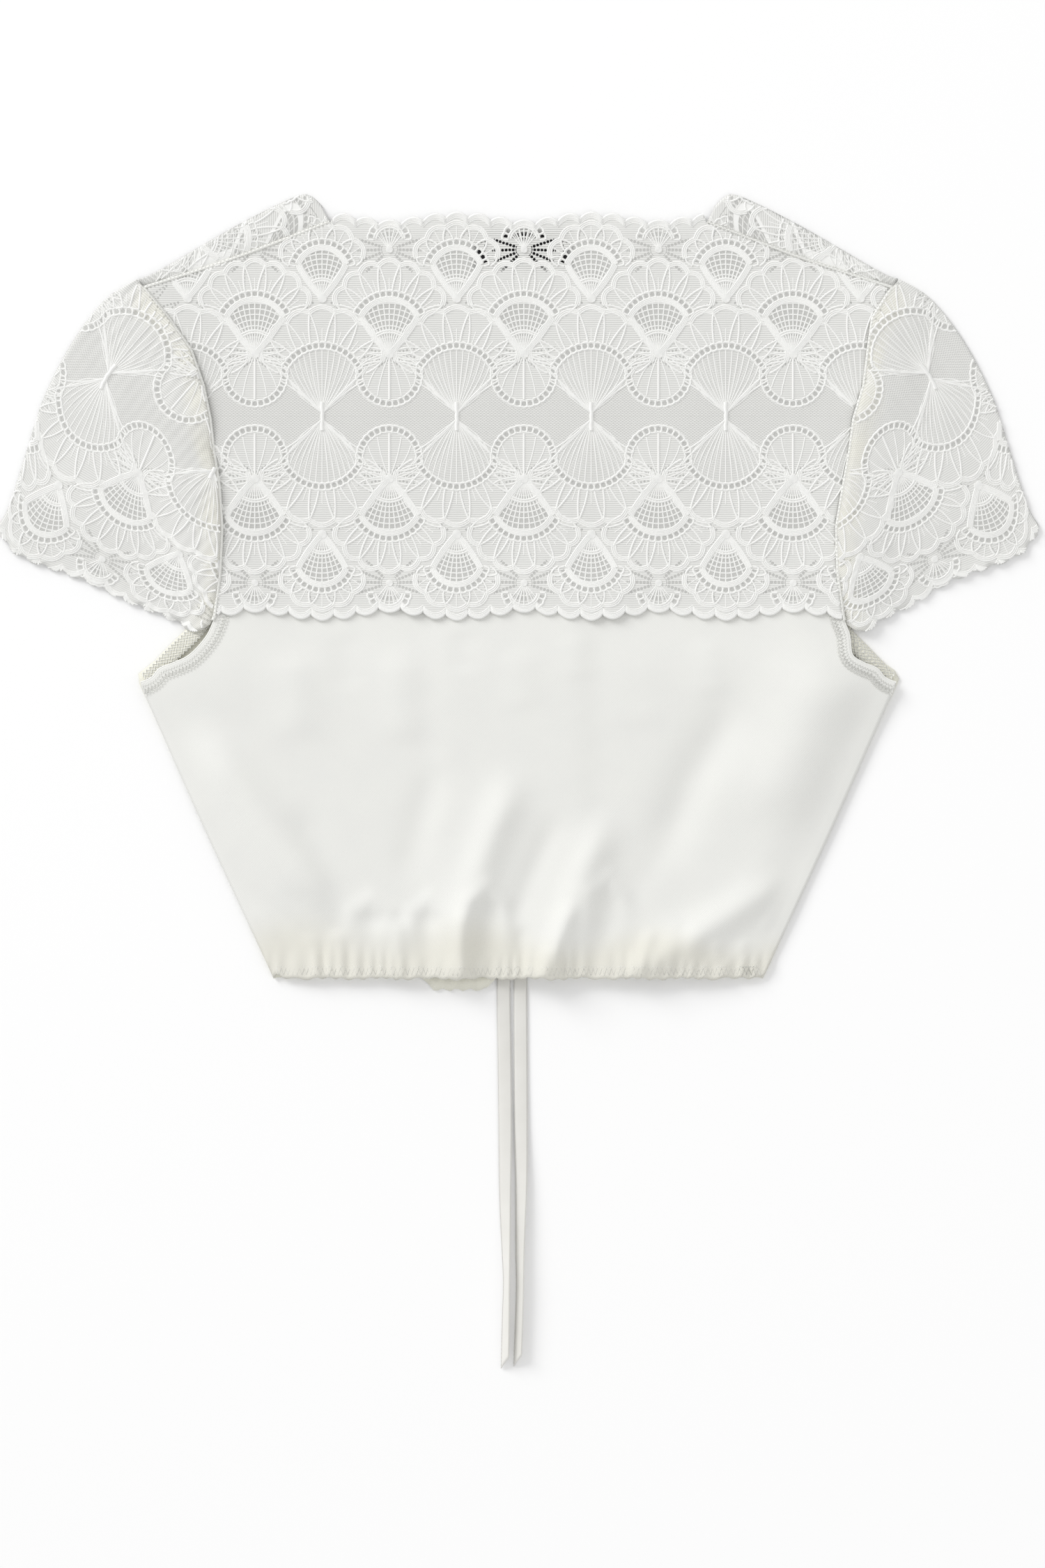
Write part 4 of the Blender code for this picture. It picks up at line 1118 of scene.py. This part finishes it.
sleeves = {side: addSleeve(side) for side in sides}
print("sleeves made")

# Front lace: it lies on the table, wraps over the shoulder and ends at the shoulder seam.
frontLace = {"columns": 60, "rows": 50, "stripRows": 16, "wall": 0.4, "lowY": 199.3, "axisAt": 205.0, "lobe": 11.8}
shoulderFold = (
    (104.0, 408.5), (109.5, 414.3), (114.0, 415.9), (124.3, 412.2), (151.0, 398.6), (190.9, 375.6), (201.6, 371.2),
)
frontNeck = ((48.0, 199.6), (61.0, 205.4), (80.3, 224.0), (104.0, 250.0), (104.0, 320.0), (104.0, 404.0), (104.0, 408.5))


def addFrontLace(side):
    sign = sides[side]
    node = f"front_lace_{side}"
    columns, rows = frontLace["columns"], frontLace["rows"]
    neck = resample(splinePath(frontNeck, 160), rows)
    fold = splinePath(shoulderFold, columns)
    heights = np.linspace(frontLace["lowY"], 366.2, rows)
    arm = np.column_stack([armhole(side, heights) - 0.25, heights])
    arm[-1] = fold[-1]
    low = np.linspace(neck[0], arm[0], columns)
    xu, yu = patch(low, fold, neck, arm)
    seam = splinePath(shoulderSeam, columns) + (0, 0.25)
    ends = np.array([(201.6, 371.2), (200.2, 367.2), seam[-1]])
    xt, yt = patch(fold, seam, np.linspace(fold[0], seam[0], frontLace["stripRows"]), resample(ends, frontLace["stripRows"]))
    height = topOfSolid(node, 2.0, 2)
    topZ = height(sign * xt, yt) - 0.5
    underZ = np.full(xu.shape, 0.4)
    topZ[0] = (topZ[2] + underZ[0]) / 2
    x = np.vstack([xu, xt[1:]]) * sign
    y = np.vstack([yu, yt[1:]])
    z = np.vstack([underZ[:-1], topZ])
    across = frontLace["axisAt"] - sign * x
    along = np.vstack([yu, 2 * yt[:1] - yt[1:]])
    if side == "left":
        x, y, z, across, along = (grid[:, ::-1] for grid in (x, y, z, across, along))
    sheet = clothGrid(f"frontLaceFolded{side.title()}", x, y, z, laceCloth, frontLace["wall"], uv=(along, across))
    outline = np.vstack([fold, ends[1:], seam[::-1]]) * (sign, 1)
    threads = laceThreadsOn(
        f"frontLaceThreads{side.title()}", lambda s, t: (sign * (frontLace["axisAt"] - t), s), range(5, 7),
        insideOf(outline), lambda px, py: height(px, py) - 0.5)
    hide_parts(node)
    return sheet, threads


frontLaces = {side: addFrontLace(side) for side in sides}
print("front lace made")

# Trims: gathered seam allowance, elastic bands, labels, seams and stitches.
backArmholeBand = ((160.0, 196.0), (161.2, 190.4), (165.6, 181.0), (174.2, 171.6), (183.2, 167.2), (190.2, 164.4),
                   (194.5, 159.6), (200.4, 157.0))
frontArmholeBand = ((167.0, 196.5), (176.9, 185.0), (185.8, 176.4), (194.6, 167.2), (200.6, 162.0))
stitch = {"radius": 0.22, "zigzagPitch": 1.9, "overlockPitch": 2.1, "overlockWidth": 2.2, "seamRadius": 1.0}


def besidePath(path, distance):
    run = np.gradient(path, axis=0)
    across = np.column_stack([run[:, 1], -run[:, 0]]) / np.maximum(np.linalg.norm(run, axis=1), 1e-6)[:, None]
    return path + across * distance


def zigzag(path, width, pitch):
    # Stitch places that swing from one side of the path to the other.
    count = int(np.linalg.norm(np.diff(path, axis=0), axis=1).sum() / pitch) * 2
    middle = resample(path, count)
    swing = (np.arange(count) % 2 - 0.5) * width
    run = np.gradient(middle, axis=0)
    across = np.column_stack([run[:, 1], -run[:, 0]]) / np.linalg.norm(run, axis=1)[:, None]
    return middle + across * swing[:, None]


def addStrip(side, node, name, path, width, rows, height, material, wall, gathers=None, sink=0.0):
    # A narrow strip beside a path, with an optional gathered wave along it.
    sign = sides[side]
    offsets = np.linspace(0, width, 7)
    middle = resample(path, rows)
    places = np.stack([besidePath(middle, o) for o in offsets])
    x, y = places[:, :, 0] * sign, places[:, :, 1]
    z = height(x, y) - sink * (offsets[:, None] / width) ** 2
    if gathers:
        along = np.linspace(0, 1, rows)[None, :] * np.linalg.norm(np.diff(middle, axis=0), axis=1).sum()
        turn = 2 * np.pi * (along + 2.2 * np.sin(along / 9.0)) / gathers["pitch"] + offsets[:, None] / 5.0
        z = z + gathers["height"] * np.cos(turn) * (0.5 + 0.5 * offsets[:, None] / width)
    piece = clothGrid(name, x, y, z, material, wall, uv=(x, y))
    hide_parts(node)
    return piece


def addSeamStrip(side):
    heights = np.linspace(206.0, 360.0, 60)
    path = np.column_stack([armhole(side, heights) + 0.4, heights])
    top = topOfSolid(f"seam_strip_{side}", 2.0, 1)
    return addStrip(side, f"seam_strip_{side}", f"seamStrip{side.title()}", path, 12.0, 150,
                    lambda x, y: top(x, y) - 0.55, creamCotton, 0.4, {"pitch": 7.0, "height": 0.4})


def addArmholeBands(side):
    shift = armhole(side, 192.4) - armhole("left", 192.4)
    back = splinePath(backArmholeBand, 60)
    back[:, 0] += shift * smooth(165, 185, back[:, 1])
    backHeight = topOfSolid("back_bodice")
    pieces = {}
    lift = lambda x, y: backHeight(x, y) + 0.1
    node, title = f"armhole_band_back_{side}", side.title()
    pieces["back"] = addStrip(side, node, f"armholeBandBack{title}", back, 6.4, 70, lift, cotton, 0.3,
                              sink=0.5)
    sign = sides[side]
    lines = []
    for distance, width, weight in ((4.6, 2.2, 1.1), (6.6, 1.3, 0.9)):
        row = zigzag(besidePath(back, distance), width, stitch["zigzagPitch"]) * (sign, 1)
        lines.append((np.column_stack([row, backHeight(row[:, 0], row[:, 1]) + 0.25]), weight))
    edge = resample(besidePath(back, 0.0), 60) * (sign, 1)
    lines.append((np.column_stack([edge, backHeight(edge[:, 0], edge[:, 1]) - 0.1]), 2.4))
    loops = zigzag(besidePath(back, 2.4), 1.2, 1.5) * (sign, 1)
    lines.append((np.column_stack([loops, backHeight(loops[:, 0], loops[:, 1]) + 0.25]), 0.8))
    pieces["backStitches"] = layThreads(f"armholeStitchesBack{title}", lines, sewingTree, stitch["radius"])
    front = splinePath(frontArmholeBand, 50)
    front[:, 0] += shift * smooth(182, 197, front[:, 1]) * 0.5
    front = besidePath(front, 0.4)
    node = f"armhole_band_front_{side}"
    pieces["front"] = addStrip(side, node, f"armholeBandFront{title}", front, 8.2, 60,
                               lambda x, y: np.full(np.shape(x), 1.75), elastic, 0.5)
    lines = []
    for distance in (0.9, 2.7, 4.5, 6.3, 7.8):
        row = zigzag(besidePath(front, distance), 1.7, 2.3) * (sign, 1)
        lines.append((np.column_stack([row, np.full(len(row), 2.15)]), 1.5))
    pieces["frontStitches"] = layThreads(f"armholeStitchesFront{title}", lines, sewingTree, stitch["radius"])
    return pieces


def addSeams(side):
    # Overlocked ridges over the butted seams of the lace, at the armhole and the shoulder.
    sign = sides[side]
    heights = np.linspace(190.0, 366.0, 90)
    arm = np.column_stack([sign * armhole(side, heights), heights])
    yokeHeight, sleeveHeight = topOfSolid("back_yoke"), topOfSolid(f"sleeve_{side}")
    lines = []
    for path in (arm, splinePath(shoulderSeam, 60) * (sign, 1)):
        ridge = np.maximum(yokeHeight(path[:, 0], path[:, 1]), 1.6)
        if path is arm:
            ridge = np.maximum(ridge, 0.25 * ridge + 0.75 * sleeveHeight(path[:, 0], path[:, 1]))
        lines.append((np.column_stack([path, ridge - 0.8]), stitch["seamRadius"] / stitch["radius"]))
        row = zigzag(path, stitch["overlockWidth"], stitch["overlockPitch"])
        ridge = np.interp(np.linspace(0, 1, len(row)), np.linspace(0, 1, len(path)), ridge)
        lines.append((np.column_stack([row, ridge - 0.05]), 0.9))
    return layThreads(f"laceSeams{side.title()}", lines, sewingTree, stitch["radius"])


def addHemStitches():
    height = topOfSolid("back_bodice")
    lines = []
    for y, width in ((3.8, 3.8), (6.4, 0.9)):
        path = np.column_stack([np.linspace(-bodice["hemHalf"] + 1.5, bodice["hemHalf"] - 1.5, 200), np.full(200, y)])
        row = zigzag(path, width, 2.4 if width > 1 else 1.4)
        z = height(row[:, 0], row[:, 1]) - 0.3 + hemPuckers(row[:, 0], row[:, 1])
        lines.append((np.column_stack([row, z + creaseHeights(row[:, 0], row[:, 1])]), 1.2 if width > 1 else 0.8))
    return layThreads("hemStitches", lines, sewingTree, stitch["radius"])


def addLabel(node, name, box, material, lift):
    x0, x1, y0, y1 = box
    x, y = np.meshgrid(np.linspace(x0, x1, 24), np.linspace(y0, y1, 12))
    z = 0.6 + lift * np.sin(x / 9.0) * np.sin(y / 11.0)
    piece = clothGrid(name, x, y, z, material, 0.5, uv=(x, y))
    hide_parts(node)
    return piece


seamStrips = {side: addSeamStrip(side) for side in sides}
armholeBands = {side: addArmholeBands(side) for side in sides}
laceSeams = {side: addSeams(side) for side in sides}
hemStitches = addHemStitches()
neckLabel = addLabel("neck_label", "neckLabel", labelBox, labelCloth, 0.15)
sizeTab = addLabel("size_tab", "sizeTab", (-8.0, 14.0, 368.8, 377.5), tabCloth, 0.1)
print("trims sewn on")
